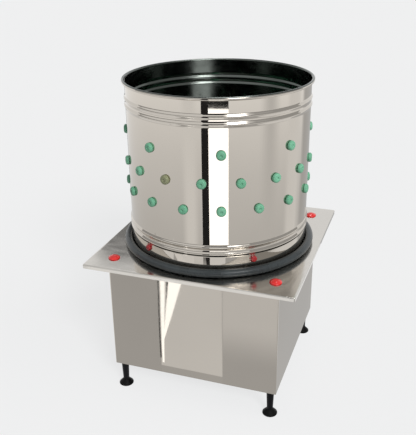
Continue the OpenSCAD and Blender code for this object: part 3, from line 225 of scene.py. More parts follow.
capDarkRed = mouldedPlastic("capDarkRed", (0.26, 0.012, 0.014), roughness=0.30, coat=0.4)
buttonRed = mouldedPlastic("buttonRed", (0.55, 0.016, 0.014), roughness=0.28, coat=0.3)
buttonGreen = mouldedPlastic("buttonGreen", (0.020, 0.22, 0.05), roughness=0.28, coat=0.3)
boxBlack = mouldedPlastic("boxBlack", (0.018, 0.018, 0.020), roughness=0.42)
glandBlack = mouldedPlastic("glandBlack", (0.014, 0.014, 0.015), roughness=0.36)
fanBlack = mouldedPlastic("fanBlack", (0.020, 0.020, 0.022), roughness=0.50)
stemBlack = paintedMetal("stemBlack", (0.004, 0.004, 0.005), roughness=0.40, grainScale=320.0, depth=0.0002,
                         gloss=0.12)
framePaint = paintedMetal("framePaint", (0.13, 0.135, 0.14), roughness=0.48, grainScale=260.0, depth=0.0003)
castPaint = paintedMetal("castPaint", (0.075, 0.080, 0.085), roughness=0.55, grainScale=150.0, depth=0.0008)
motorCast = paintedMetal("motorCast", motorBlue, roughness=0.45, grainScale=190.0, depth=0.0006)
motorPaint = paintedMetal("motorPaint", motorBlue, roughness=0.36, grainScale=420.0, depth=0.0002)
zincPlate = bareMetal("zincPlate", (0.52, 0.52, 0.49), roughness=0.30, streak=(160, 160, 160))
turnedSteel = bareMetal("turnedSteel", (0.50, 0.49, 0.47), roughness=0.26, streak=(30, 30, 900))
groundSteel = bareMetal("groundSteel", (0.62, 0.61, 0.60), roughness=0.16, streak=(300, 300, 300))

nodeFinishes = {
    innerSteel: ["drum_lugs", "feather_hopper"],
    cabinetSteel: ["rear_panel", "outlet_frame"],
    discSteel: ["plucking_disc"],
    zincPlate: ["plate_bolts", "drum_bolts", "hub_bolts", "disc_nut", "housing_bolts", "drive_plate_bolts",
                "pulley_end_bolt", "motor_bolts", "foot_nuts"],
    framePaint: ["corner_posts", "top_rails", "bottom_rails", "drive_rails", "drive_plate"],
    castPaint: ["disc_hub", "bearing_housing", "spindle_pulley", "motor_pulley"],
    motorCast: ["motor_housing", "motor_flange", "motor_rear_shield"],
    motorPaint: ["motor_fan_cover", "terminal_box"],
    turnedSteel: ["spindle", "spindle_keys", "motor_rotor"],
    groundSteel: ["bearing_outer_rings", "bearing_inner_rings", "bearing_balls"],
    beltRubber: ["v_belt", "spindle_seal"],
    fanBlack: ["motor_fan"],
}
for finish, names in nodeFinishes.items():
    for name in names:
        cadNodes[name].data.materials.clear()
        cadNodes[name].data.materials.append(finish)
print("finishes ready:", len(bpy.data.materials))


# Mesh helpers: outlines in millimetres become closed pieces in metres
def arc(centre, radius, start, stop, steps):
    turn = math.radians(stop - start) / steps
    first = math.radians(start)
    return [(centre[0] + radius * math.cos(first + i * turn), centre[1] + radius * math.sin(first + i * turn))
            for i in range(steps + 1)]


def bridge(bm, first, second):
    for i in range(max(len(first), len(second))):
        corners = [first[i % len(first)], first[(i + 1) % len(first)],
                   second[(i + 1) % len(second)], second[i % len(second)]]
        corners = list(dict.fromkeys(corners))
        if len(corners) > 2:
            bm.faces.new(corners)


def spin(profile, segments, closed=False):
    bm = bmesh.new()
    rings = []
    for radius, height in profile:
        steps = segments if radius > tiny else 1
        angles = [math.tau * i / steps for i in range(steps)]
        ring = [(radius * math.cos(angle), radius * math.sin(angle), height) for angle in angles]
        rings.append([bm.verts.new(point) for point in ring])
    if closed:
        rings.append(rings[0])
    for first, second in zip(rings, rings[1:]):
        bridge(bm, first, second)
    return bm


def smoothed(mesh, sharpAngle=35):
    mesh.polygons.foreach_set("use_smooth", [True] * len(mesh.polygons))
    mesh.set_sharp_from_angle(angle=math.radians(sharpAngle))
    return mesh


def toMesh(bm, name):
    bmesh.ops.recalc_face_normals(bm, faces=bm.faces)
    bm.transform(Matrix.Scale(mm, 4))
    mesh = bpy.data.meshes.new(name)
    bm.to_mesh(mesh)
    bm.free()
    return smoothed(mesh)


def settled(host):
    bpy.context.view_layer.update()
    return bpy.data.meshes.new_from_object(host.evaluated_get(bpy.context.evaluated_depsgraph_get()))


def carved(mesh, *steps):
    for operation, tool in steps:
        host = bpy.data.objects.new("carving", mesh)
        cutter = bpy.data.objects.new("cutter", tool)
        scene.collection.objects.link(host)
        scene.collection.objects.link(cutter)
        change = host.modifiers.new("change", "BOOLEAN")
        change.operation = operation
        change.object = cutter
        mesh = settled(host)
        bpy.data.objects.remove(host)
        bpy.data.objects.remove(cutter)
    return smoothed(mesh)


def boxMesh(low, high, bevel=0.0):
    size = [end - start for start, end in zip(low, high)]
    middle = [(start + end) / 2 for start, end in zip(low, high)]
    bm = bmesh.new()
    bmesh.ops.create_cube(bm, size=1, matrix=Matrix.Translation(middle) @ Matrix.Diagonal((*size, 1)))
    if bevel:
        bmesh.ops.bevel(bm, geom=bm.edges[:], offset=bevel, segments=4, profile=0.5, affect="EDGES")
    return toMesh(bm, "box")


def piece(name, mesh, finish, body, slot, *replaced):
    made = bpy.data.objects.new(name, mesh)
    scene.collection.objects.link(made)
    if finish:
        mesh.materials.clear()
        mesh.materials.append(finish)
    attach(made, body)
    if replaced:
        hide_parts(*replaced)
    return made


# Geometry trees: built here, filled by socket identifier, turned into plain meshes
def newTree(name, sockets):
    tree = bpy.data.node_groups.new(name, "GeometryNodeTree")
    for label, kind in sockets.items():
        tree.interface.new_socket(label, in_out="INPUT", socket_type="NodeSocket" + kind)
    tree.interface.new_socket("Geometry", in_out="OUTPUT", socket_type="NodeSocketGeometry")
    given = {item.name: item for item in tree.nodes.new("NodeGroupInput").outputs if item.name}
    return tree, given


def closeTree(tree, geometry, finish, lining=None, isLined=None):
    real = addNode(tree, "GeometryNodeRealizeInstances", inputs={"Geometry": geometry})
    dressed = addNode(tree, "GeometryNodeSetMaterial", inputs={"Geometry": outOf(real), "Material": finish})
    if lining:
        dressed = addNode(tree, "GeometryNodeSetMaterial", inputs={
            "Geometry": outOf(dressed), "Selection": isLined, "Material": lining})
    tree.links.new(outOf(dressed), tree.nodes.new("NodeGroupOutput").inputs[0])


def grow(tree, values, base=None):
    host = bpy.data.objects.new("growing", base or bpy.data.meshes.new("growing"))
    scene.collection.objects.link(host)
    grower = host.modifiers.new("grow", "NODES")
    grower.node_group = tree
    for item in tree.interface.items_tree:
        if item.in_out == "INPUT" and item.name in values:
            grower[item.identifier] = values[item.name]
    mesh = settled(host)
    host.modifiers.remove(grower)
    bpy.data.objects.remove(host)
    return mesh


def buildCopiesTree():
    tree, given = newTree("placeCopies", {"Geometry": "Geometry", "Part": "Object", "Spin": "Float",
                                          "Old Copy": "Int", "Seed": "Int", "Finish": "Material"})
    part = addNode(tree, "GeometryNodeObjectInfo", inputs={"Object": given["Part"], "As Instance": True})
    facing = addNode(tree, "GeometryNodeInputNamedAttribute", {"data_type": "FLOAT_VECTOR"},
                     {"Name": "facing"})
    aim = addNode(tree, "FunctionNodeAlignRotationToVector", {"axis": "Z"}, {"Vector": outOf(facing)})
    chance = addNode(tree, "FunctionNodeRandomValue", {"data_type": "FLOAT"},
                     {"Min": 0.0, "Max": 1.0, "Seed": given["Seed"]})
    roll = addNode(tree, "ShaderNodeCombineXYZ",
                   inputs={"Z": calc(tree, "MULTIPLY", outOf(chance), given["Spin"])})
    turn = addNode(tree, "FunctionNodeEulerToRotation", inputs={"Euler": outOf(roll)})
    aimed = addNode(tree, "FunctionNodeRotateRotation", {"rotation_space": "LOCAL"},
                    {"Rotation": outOf(aim), "Rotate By": outOf(turn)})
    placed = addNode(tree, "GeometryNodeInstanceOnPoints", inputs={
        "Points": given["Geometry"], "Instance": outOf(part, "Geometry"), "Rotation": outOf(aimed)})
    toned = addNode(tree, "GeometryNodeStoreNamedAttribute", {"data_type": "FLOAT", "domain": "INSTANCE"},
                    {"Geometry": outOf(placed), "Name": "tone", "Value": outOf(chance)})
    order = addNode(tree, "GeometryNodeInputIndex")
    isOld = calc(tree, "COMPARE", outOf(order), given["Old Copy"], tiny)
    aged = addNode(tree, "GeometryNodeStoreNamedAttribute", {"data_type": "FLOAT", "domain": "INSTANCE"},
                   {"Geometry": outOf(toned), "Name": "age", "Value": isOld})
    closeTree(tree, outOf(aged), given["Finish"])
    return tree


copiesTree = buildCopiesTree()


def placesMesh(places):
    mesh = bpy.data.meshes.new("places")
    mesh.from_pydata([Vector(spot) * mm for spot, facing in places], [], [])
    facings = mesh.attributes.new("facing", "FLOAT_VECTOR", "POINT")
    facings.data.foreach_set("vector", [value for spot, facing in places for value in facing])
    return mesh


def copies(partMesh, places, finish, spinTurn=0.0, oldCopy=-1, seed=1):
    part = bpy.data.objects.new("part", partMesh)
    scene.collection.objects.link(part)
    mesh = grow(copiesTree, {"Part": part, "Spin": spinTurn, "Old Copy": oldCopy, "Seed": seed,
                             "Finish": finish}, placesMesh(places))
    bpy.data.objects.remove(part)
    return mesh


def ringPlaces(count, radius, height, turn, inward):
    places = []
    for i in range(count):
        angle = math.radians(turn + i * 360 / count)
        out = Vector((math.cos(angle), math.sin(angle), 0))
        spot = out * radius + Vector((0, 0, height))
        places.append((spot, -out if inward else Vector((0, 0, 1))))
    return places


# Ribbed rubber fingers: a dimpled head outside, a collar inside, then a tapered stalk with ribs
finger = {
    "headRadius": 14, "headHeight": 10, "headRound": 6.5, "headSteps": 6, "headEdge": 0.8,
    "dimpleRadius": 4.5, "dimpleDepth": 2.5, "dimpleCurve": ((0, 0), (0.45, 0.2), (0.8, 1.6)),
    "neckRadius": 9.9, "collarRadius": 12.5, "collarHeight": 5, "collarRound": 1, "collarSteps": 3,
    "length": 86, "rootRadius": 10, "tipRadius": 6, "tipHeight": 5, "tipSteps": 6, "segments": 36,
    "ribs": 8, "ribOut": 1.4, "ribRise": 0.3, "ribFlat": 0.25, "ribFall": 0.25, "ribSteps": 12,
}
drumRows = {
    "drumRadius": 275, "grip": 1.9,
    "rows": {"top_row_fingers": (8, 823, 19.9, -1), "middle_row_fingers": (16, 741, 8.65, 11),
             "bottom_row_fingers": (16, 661, 19.9, -1)},
}
discRings = {
    "discUnder": 540, "grip": 3.1, "firstSeed": 10,
    "rings": {"disc_inner_fingers": (6, 100), "disc_middle_fingers": (12, 160),
              "disc_outer_fingers": (16, 222)},
}


def easeStep(share):
    share = min(1.0, max(0.0, share))
    return share * share * (3 - 2 * share)


def ribAt(share):
    fall = (share - finger["ribRise"] - finger["ribFlat"]) / finger["ribFall"]
    return finger["ribOut"] * (easeStep(share / finger["ribRise"]) - easeStep(fall))


def fingerProfile(grip):
    headRound = finger["headRound"]
    collarRound = finger["collarRound"]
    stalkFoot = grip + finger["collarHeight"]
    stalk = finger["length"] - finger["collarHeight"] - finger["tipHeight"]
    dimple = finger["dimpleDepth"] - finger["headHeight"]
    profile = [(share * finger["dimpleRadius"], dimple - drop) for share, drop in finger["dimpleCurve"]]
    profile.append((finger["dimpleRadius"], -finger["headHeight"]))
    headMiddle = (finger["headRadius"] - headRound, headRound - finger["headHeight"])
    profile += arc(headMiddle, headRound, -90, 0, finger["headSteps"])
    profile += [(finger["headRadius"], -finger["headEdge"]), (finger["headRadius"] - finger["headEdge"], 0),
                (finger["neckRadius"], 0), (finger["neckRadius"], grip)]
    collarEdge = finger["collarRadius"] - collarRound
    profile += arc((collarEdge, grip + collarRound), collarRound, -90, 0, finger["collarSteps"])
    profile += arc((collarEdge, stalkFoot - collarRound), collarRound, 0, 90, finger["collarSteps"])
    steps = finger["ribs"] * finger["ribSteps"]
    for i in range(steps + 1):
        along = i / steps
        taper = finger["rootRadius"] + (finger["tipRadius"] - finger["rootRadius"]) * along
        profile.append((taper + ribAt(along * finger["ribs"] % 1.0), stalkFoot + along * stalk))
    tipFoot = grip + finger["length"] - finger["tipHeight"]
    dome = arc((0, 0), 1, 0, 90, finger["tipSteps"])[1:-1]
    profile += [(out * finger["tipRadius"], tipFoot + up * finger["tipHeight"]) for out, up in dome]
    return profile + [(0, grip + finger["length"])]


def fingerMesh(grip):
    return toMesh(spin(fingerProfile(grip), finger["segments"]), "finger")


drumPlaces = []
for seed, (node, (count, height, turn, oldCopy)) in enumerate(drumRows["rows"].items()):
    places = ringPlaces(count, drumRows["drumRadius"], height, turn, True)
    drumPlaces += places
    mesh = copies(fingerMesh(drumRows["grip"]), places, fingerGreen, math.tau, oldCopy, seed)
    piece(node.replace("_", "-"), smoothed(mesh), fingerGreen, "machine", "finger_rubber", node)
for seed, (node, (count, radius)) in enumerate(discRings["rings"].items()):
    places = ringPlaces(count, radius, discRings["discUnder"], 0, False)
    mesh = copies(fingerMesh(discRings["grip"]), places, fingerGreen, math.tau,
                  seed=discRings["firstSeed"] + seed)
    piece(node.replace("_", "-"), smoothed(mesh), fingerGreen, "finger_disc", "finger_rubber", node)
print("fingers placed:", len(drumPlaces), "in the drum")


# Drum: one rolled sheet with two pairs of beads, finger holes and a rim rolled over a wire
drumSheet = {
    "Radius": 275, "Wall": 1.5, "Foot": 463, "Height": 512, "Rim Radius": 5, "Hole Radius": 8,
    "Bead Out": 3.5, "Bead Height": 18, "Bead Pitch": 21, "Bead Reach": 21,
    "Low Beads": 77, "High Beads": 453, "Wobble": 0.35,
}
drumGrid = {"Columns": 256, "Rows": 176, "Rim Steps": 24}
drumLobes = 3.0  # no rolled sheet is truly round
mergeReach = 1e-5
rowShares = (0.06, 0.25, 0.38, 0.25, 0.06)  # of the grid's rows, from foot to rim: the beads take half
# The rim's top and inside take the darkened steel too, as painted shade, down to the slope given below
lipShadeSlope = 1.4  # the rim is dark over its top and inside, down to this slope outside


def beadAt(tree, given, height, middle):
    share = calc(tree, "DIVIDE", calc(tree, "SUBTRACT", height, middle), given["Bead Height"])
    share = calc(tree, "MINIMUM", calc(tree, "MAXIMUM", share, -0.5), 0.5)
    wave = calc(tree, "COSINE", calc(tree, "MULTIPLY", share, math.tau))
    half = calc(tree, "MULTIPLY", given["Bead Out"], 0.5)
    return calc(tree, "MULTIPLY", calc(tree, "ADD", wave, 1.0), half)


def rowHeight(tree, given, share):
    stops = [0.0]
    for pair in ("Low Beads", "High Beads"):
        stops += [calc(tree, side, given[pair], given["Bead Reach"]) for side in ("SUBTRACT", "ADD")]
    stops.append(given["Height"])
    height = 0.0
    start = 0.0
    for lower, upper, rows in zip(stops, stops[1:], rowShares):
        stretch = spread(tree, share, 0.0, calc(tree, "SUBTRACT", upper, lower), start, start + rows)
        height = calc(tree, "ADD", height, stretch)
        start += rows
    return height


def buildDrumTree():
    sockets = {name: "Float" for name in drumSheet}
    sockets.update({name: "Int" for name in drumGrid})
    sockets.update({"Holes": "Object", "Finish": "Material", "Inner Shade Finish": "Material"})
    tree, given = newTree("rolledDrum", sockets)
    grid = addNode(tree, "GeometryNodeMeshGrid", inputs={
        "Size X": 1.0, "Size Y": 1.0, "Vertices X": given["Columns"], "Vertices Y": given["Rows"]})
    place = outOf(addNode(tree, "GeometryNodeInputPosition"))
    flat = addNode(tree, "ShaderNodeSeparateXYZ", inputs={"Vector": place})
    angle = calc(tree, "MULTIPLY", calc(tree, "ADD", flat.outputs["X"], 0.5), math.tau)
    height = rowHeight(tree, given, calc(tree, "ADD", flat.outputs["Y"], 0.5))
    halfPitch = calc(tree, "MULTIPLY", given["Bead Pitch"], 0.5)
    radius = given["Radius"]
    for pair in ("Low Beads", "High Beads"):
        for side in ("ADD", "SUBTRACT"):
            bead = beadAt(tree, given, height, calc(tree, side, given[pair], halfPitch))
            radius = calc(tree, "ADD", radius, bead)
    uneven = calc(tree, "SINE", calc(tree, "MULTIPLY", angle, drumLobes))
    radius = calc(tree, "ADD", radius, calc(tree, "MULTIPLY", uneven, given["Wobble"]))
    spot = addNode(tree, "ShaderNodeCombineXYZ", inputs={
        "X": calc(tree, "MULTIPLY", radius, calc(tree, "COSINE", angle)),
        "Y": calc(tree, "MULTIPLY", radius, calc(tree, "SINE", angle)),
        "Z": calc(tree, "ADD", height, given["Foot"])})
    rolled = addNode(tree, "GeometryNodeSetPosition",
                     inputs={"Geometry": outOf(grid, "Mesh"), "Position": outOf(spot)})
    seamed = addNode(tree, "GeometryNodeMergeByDistance",
                     inputs={"Geometry": outOf(rolled), "Distance": mergeReach})
    holes = addNode(tree, "GeometryNodeObjectInfo", inputs={"Object": given["Holes"]})
    near = addNode(tree, "GeometryNodeProximity", {"target_element": "POINTS"},
                   {"Geometry": outOf(holes, "Geometry")})
    inHole = calc(tree, "LESS_THAN", outOf(near, "Distance"), given["Hole Radius"])
    drilled = addNode(tree, "GeometryNodeDeleteGeometry", {"domain": "FACE"},
                      {"Geometry": outOf(seamed), "Selection": inHole})
    inward = calc(tree, "MULTIPLY", given["Wall"], -1.0)
    inner = addNode(tree, "GeometryNodeExtrudeMesh", {"mode": "FACES"},
                    {"Mesh": outOf(drilled), "Offset Scale": inward, "Individual": False})
    # The inner wall's faces are marked 'inside' and take the darkened steel: painted shade inside the drum
    marked = addNode(tree, "GeometryNodeStoreNamedAttribute", {"data_type": "BOOLEAN", "domain": "FACE"},
                     {"Geometry": outOf(inner, "Mesh"), "Name": "inside", "Value": outOf(inner, "Top")})
    turned = addNode(tree, "GeometryNodeFlipFaces", inputs={"Mesh": outOf(marked)})
    rimReach = calc(tree, "ADD", calc(tree, "SUBTRACT", given["Radius"], given["Wall"]), given["Rim Radius"])
    rimPath = addNode(tree, "GeometryNodeCurvePrimitiveCircle",
                      inputs={"Resolution": given["Columns"], "Radius": rimReach})
    rimHeight = calc(tree, "ADD", given["Foot"], given["Height"])
    rimLift = addNode(tree, "ShaderNodeCombineXYZ", inputs={"Z": rimHeight})
    rimPlaced = addNode(tree, "GeometryNodeTransform",
                        inputs={"Geometry": outOf(rimPath, "Curve"), "Translation": outOf(rimLift)})
    rimSection = addNode(tree, "GeometryNodeCurvePrimitiveCircle",
                         inputs={"Resolution": given["Rim Steps"], "Radius": given["Rim Radius"]})
    rim = addNode(tree, "GeometryNodeCurveToMesh",
                  inputs={"Curve": outOf(rimPlaced), "Profile Curve": outOf(rimSection, "Curve")})
    # Rim faces over the top and inside, down to that slope outside, are marked 'inside' as well: painted
    # shade over the rim
    rimSpot = addNode(tree, "ShaderNodeSeparateXYZ", inputs={"Vector": place})
    rimSquare = [calc(tree, "POWER", rimSpot.outputs[axis], 2.0) for axis in ("X", "Y")]
    outward = calc(tree, "SUBTRACT", calc(tree, "SQRT", calc(tree, "ADD", *rimSquare)), rimReach)
    rise = calc(tree, "MULTIPLY", calc(tree, "SUBTRACT", rimSpot.outputs["Z"], rimHeight), lipShadeSlope)
    isShadedLip = calc(tree, "GREATER_THAN", rise, outward)
    lip = addNode(tree, "GeometryNodeStoreNamedAttribute", {"data_type": "BOOLEAN", "domain": "FACE"},
                  {"Geometry": outOf(rim), "Name": "inside", "Value": isShadedLip})
    wall = addNode(tree, "GeometryNodeJoinGeometry")
    tree.links.new(outOf(drilled), wall.inputs[0])
    tree.links.new(outOf(turned), wall.inputs[0])
    sealed = addNode(tree, "GeometryNodeMergeByDistance",
                     inputs={"Geometry": outOf(wall), "Distance": mergeReach})
    whole = addNode(tree, "GeometryNodeJoinGeometry")
    tree.links.new(outOf(sealed), whole.inputs[0])
    tree.links.new(outOf(lip), whole.inputs[0])
    isPaintedShade = addNode(tree, "GeometryNodeInputNamedAttribute", {"data_type": "BOOLEAN"}, {"Name": "inside"})
    closeTree(tree, outOf(whole), given["Finish"], given["Inner Shade Finish"], outOf(isPaintedShade))
    return tree


holeMarks = bpy.data.objects.new("holeMarks", placesMesh(drumPlaces))
scene.collection.objects.link(holeMarks)
drumValues = {name: value * mm for name, value in drumSheet.items()}
drumMesh = grow(buildDrumTree(), {**drumValues, **drumGrid, "Holes": holeMarks, "Finish": drumSteel,
                                   "Inner Shade Finish": drumShadeSteel})
bpy.data.objects.remove(holeMarks)
piece("drumShell", smoothed(drumMesh), None, "machine", "stainless", "drum")
print("drum rolled:", len(drumMesh.polygons), "faces")


# Rubber tube round the drum's foot
sealRing = {"ringRadius": 287.8, "tubeRadius": 12.5, "height": 475.8, "segments": 192, "around": 32}
tubeMiddle = (sealRing["ringRadius"], sealRing["height"])
ringProfile = arc(tubeMiddle, sealRing["tubeRadius"], 0, 360, sealRing["around"])
piece("sealTube", toMesh(spin(ringProfile[:-1], sealRing["segments"], True), "sealTube"),
      ringRubber, "machine", "black_rubber", "seal_ring")


# Square loop with round corners, and the circle points that lie on the same rays
def roundedSquare(half, radius, height, perCorner=6, perSide=24):
    points = []
    straight = half - radius
    for quarter in range(4):
        for x, y in arc((straight, straight), radius, 0, 90, perCorner):
            points.append(Matrix.Rotation(quarter * math.pi / 2, 3, "Z") @ Vector((x, y, height)))
        for i in range(1, perSide):
            side = Vector((straight - 2 * straight * i / perSide, half, height))
            points.append(Matrix.Rotation(quarter * math.pi / 2, 3, "Z") @ side)
    return points


def circleInside(points, radius, height):
    return [Vector((*(point.xy.normalized() * radius), height)) for point in points]


# Top plate: folded edge all round, with a large opening inside the drum
topPlate = {"half": 322, "corner": 5, "face": 463, "thickness": 2, "lip": 12, "bend": 2.5, "opening": 250,
            "flatMargin": 4, "foldMargin": 0.6, "bendSteps": 5, "foldShare": 0.1}


def plateMesh():
    half, corner, face, bend = (topPlate[name] for name in ("half", "corner", "face", "bend"))
    thickness, opening = topPlate["thickness"], topPlate["opening"]
    bm = bmesh.new()
    bendMiddle = half - bend
    flatEdge = roundedSquare(bendMiddle - topPlate["flatMargin"], corner, face)
    loops = [circleInside(flatEdge, opening, face), flatEdge]
    for reach, height in arc((bendMiddle, face - bend), bend, 90, 0, topPlate["bendSteps"]):
        loops.append(roundedSquare(reach, corner - half + reach, height))
    loops.append(roundedSquare(half, corner, face - bend - topPlate["foldMargin"]))
    inside = half - thickness
    lipFoot = face - topPlate["lip"]
    under = face - thickness
    loops.append(roundedSquare(half, corner, lipFoot))
    loops.append(roundedSquare(inside, corner - thickness, lipFoot))
    loops.append(roundedSquare(inside, corner - thickness, under))
    loops.append(circleInside(flatEdge, opening, under))
    rings = [[bm.verts.new(point) for point in loop] for loop in loops]
    for first, second in zip(rings, rings[1:] + rings[:1]):
        bridge(bm, first, second)
    bm.normal_update()
    for side in bm.faces:
        side.material_index = int(abs(side.normal.z) < topPlate["foldShare"])
    return toMesh(bm, "topPlate")


plate = plateMesh()
plate.materials.append(plateSteel)
plate.materials.append(lipSteel)
piece("topPlate", plate, None, "machine", "stainless", "top_plate")


# Cabinet wrap: front and both sides bent from one sheet
cabinetWrap = {"half": 265, "skin": 1.5, "corner": 2.5, "low": 89, "high": 461, "cornerSteps": 8,
               "flatMargin": 3}


def wrapPath(inset):
    back = cabinetWrap["half"]
    half = back - inset
    radius = cabinetWrap["corner"] - inset
    straight = back - cabinetWrap["corner"]
    bendLeft = arc((-straight, -straight), radius, 180, 270, cabinetWrap["cornerSteps"])
    bendRight = arc((straight, -straight), radius, 270, 360, cabinetWrap["cornerSteps"])
    margin = straight - cabinetWrap["flatMargin"]
    path = [(-half, back), (-half, -margin)] + bendLeft + [(-margin, -half), (margin, -half)]
    return path + bendRight + [(half, -margin), (half, back)]


def wrapMesh():
    bm = bmesh.new()
    section = wrapPath(0) + wrapPath(cabinetWrap["skin"])[::-1]
    low = [bm.verts.new((x, y, cabinetWrap["low"])) for x, y in section]
    high = [bm.verts.new((x, y, cabinetWrap["high"])) for x, y in section]
    bridge(bm, low, high)
    half = len(section) // 2
    for ring in (low, high):
        for i in range(half - 1):
            bm.faces.new((ring[i], ring[i + 1], ring[-i - 2], ring[-i - 1]))
    return toMesh(bm, "cabinetWrap")


piece("cabinetWrap", wrapMesh(), cabinetSteel, "machine", "stainless", "cabinet_wrap")
print("sheet metal bent")


# Red caps: low domes over the plate bolts, small round ones over the drum bolts
plateCap = {"at": 251, "height": 463, "radius": 18, "edge": 2.5, "capHeight": 9, "edgeRound": 0.7,
            "domeSteps": 10, "segments": 48}
drumCap = {"turns": (59.5, 129.5, 239.5, 309.5), "radius": 275, "height": 508, "wallRadius": 9.2,
           "capHeight": 6.9, "edge": 0.5, "round": 3, "roundSteps": 6, "segments": 32}


def plateCapMesh():
    radius, edge, edgeRound = plateCap["radius"], plateCap["edge"], plateCap["edgeRound"]
    top = plateCap["capHeight"]
    profile = [(0, 0), (radius - edgeRound, 0), (radius, edgeRound), (radius, edge - edgeRound)]
    rise = top - edge
    domeRadius = (radius ** 2 + rise ** 2) / (2 * rise)
    reach = math.degrees(math.asin((radius - edgeRound) / domeRadius))
    profile += arc((0, top - domeRadius), domeRadius, 90 - reach, 90, plateCap["domeSteps"])[:-1]
    return toMesh(spin(profile + [(0, top)], plateCap["segments"]), "plateCap")


def drumCapMesh():
    wall, top, edge, bend = (drumCap[name] for name in ("wallRadius", "capHeight", "edge", "round"))
    profile = [(0, 0), (wall - edge, 0), (wall, edge)]
    profile += arc((wall - bend, top - bend), bend, 0, 90, drumCap["roundSteps"])
    return toMesh(spin(profile + [(0, top)], drumCap["segments"]), "drumCap")


corners = [(Vector((x, y, plateCap["height"])), Vector((0, 0, 1)))
           for x in (-plateCap["at"], plateCap["at"]) for y in (-plateCap["at"], plateCap["at"])]
piece("plateCaps", smoothed(copies(plateCapMesh(), corners, capRed)), capRed, "machine", "red_plastic",
      "plate_bolt_caps")
boltPlaces = []
for turn in drumCap["turns"]:
    out = Vector((math.cos(math.radians(turn)), math.sin(math.radians(turn)), 0))
    boltPlaces.append((out * drumCap["radius"] + Vector((0, 0, drumCap["height"])), out))
piece("drumCaps", smoothed(copies(drumCapMesh(), boltPlaces, capDarkRed)), capDarkRed, "machine",
      "red_plastic", "drum_bolt_caps")
print("caps placed")


# Levelling feet: a fixed stem, and a trumpet-shaped pad on a screw
foot = {"at": 243, "padRadius": 23, "padEdge": 5, "bevel": 1.5, "bevelSteps": 4, "slope": 45, "hollow": 10,
        "hollowSteps": 10, "neckRadius": 9.5, "screwRadius": 5, "screwLength": 50, "gap": 0.05,
        "boreMargin": 2, "stemRadius": 12, "stemTop": 89, "studRadius": 6, "studTop": 106.6, "edge": 0.8,
        "segments": 48}
slopeTurn = math.radians(foot["slope"])
slopeRun = foot["padRadius"] - foot["neckRadius"] - foot["hollow"] * (1 - math.cos(slopeTurn))
padHeight = foot["padEdge"] + slopeRun * math.tan(slopeTurn) + foot["hollow"] * math.sin(slopeTurn)
screwTop = padHeight + foot["screwLength"]


def padMesh(x, y):
    radius, edge, bevel = foot["padRadius"], foot["padEdge"], foot["bevel"]
    slope, hollow = foot["slope"], foot["hollow"]
    profile = [(0, 0), (radius - bevel, 0), (radius, bevel)]
    profile += arc((radius - bevel, edge - bevel), bevel, 0, 90 - slope, foot["bevelSteps"])
    hollowMiddle = (foot["neckRadius"] + hollow, padHeight)
    profile += arc(hollowMiddle, hollow, 180 + slope, 180, foot["hollowSteps"])
    profile += [(foot["screwRadius"], padHeight), (foot["screwRadius"], screwTop - foot["edge"]),
                (foot["screwRadius"] - foot["edge"], screwTop), (0, screwTop)]
    bm = spin(profile, foot["segments"])
    bm.transform(Matrix.Translation((x * foot["at"], y * foot["at"], 0)))
    return toMesh(bm, "footPad")


def stemMesh():
    bore = foot["screwRadius"] + foot["gap"]
    boreTop = screwTop + foot["boreMargin"]
    stemFoot = padHeight + foot["gap"]
    edge, stem, stud = foot["edge"], foot["stemRadius"], foot["studRadius"]
    stemTop, studTop = foot["stemTop"], foot["studTop"]
    profile = [(bore, boreTop), (bore, stemFoot), (foot["neckRadius"], stemFoot), (stem, stemTop - edge),
               (stem - edge, stemTop), (stud, stemTop), (stud, studTop - edge), (stud - edge, studTop),
               (0, studTop), (0, boreTop)]
    return toMesh(spin(profile, foot["segments"], True), "footStem")


stemPlaces = [(Vector((x * foot["at"], y * foot["at"], 0)), Vector((0, 0, 1)))
              for x in (-1, 1) for y in (-1, 1)]
piece("footStems", smoothed(copies(stemMesh(), stemPlaces, stemBlack)), stemBlack, "machine", "black_metal",
      "foot_stems")
for body, (x, y) in {"foot_front_left": (-1, -1), "foot_front_right": (1, -1),
                     "foot_rear_left": (-1, 1), "foot_rear_right": (1, 1)}.items():
    piece(body.replace("_", "-") + "-pad", padMesh(x, y), padRubber, body, "black_rubber", body)
print("feet made")


# Pan head screws with a cross recess: rear panel, outlet frame and switch ears
panScrew = {"headRadius": 4.5, "headHeight": 2.7, "rimHeight": 0.6, "domeIn": 0.2, "domeTurns": (10, 80),
            "domeSteps": 6, "shankRadius": 2.25, "shank": 5.5, "recessHalf": 2.4, "recessWidth": 1.0,
            "recessDepth": 1.1, "segments": 24}
screwRows = {
    "rear": [(x, 265, z) for x in (-243.5, 243.5) for z in (129, 275, 421)],
    "outlet": [(x, 267, z) for x in (-108.3, 0, 108.3) for z in (293.65, 397.79)],
    "switch": [(-267.5, -110, z) for z in (283, 397)],
}


def screwMesh():
    radius, top, rim = panScrew["headRadius"], panScrew["headHeight"], panScrew["rimHeight"]
    shank, end = panScrew["shankRadius"], -panScrew["shank"]
    domeReach = radius - panScrew["domeIn"]
    domeFoot = rim + panScrew["domeIn"]
    profile = [(0, end), (shank, end), (shank, 0), (radius, 0), (radius, rim)]
    dome = arc((0, 0), 1, *panScrew["domeTurns"], panScrew["domeSteps"])
    profile += [(out * domeReach, domeFoot + up * (top - domeFoot)) for out, up in dome]
    mesh = toMesh(spin(profile + [(0, top)], panScrew["segments"]), "panScrew")
    depth = panScrew["recessDepth"]
    arm, side = panScrew["recessHalf"], panScrew["recessWidth"] / 2
    for reach, half in ((arm, side), (side, arm)):
        slot = boxMesh((-reach, -half, top - depth), (reach, half, top + depth))
        mesh = carved(mesh, ("DIFFERENCE", slot))
    return mesh


screwPlaces = [(Vector(spot), Vector((0, 1, 0))) for spot in screwRows["rear"] + screwRows["outlet"]]
screwPlaces += [(Vector(spot), Vector((-1, 0, 0))) for spot in screwRows["switch"]]
piece("panScrews", smoothed(copies(screwMesh(), screwPlaces, zincPlate, math.tau)), zincPlate, "machine",
      "fasteners", "panel_screws")


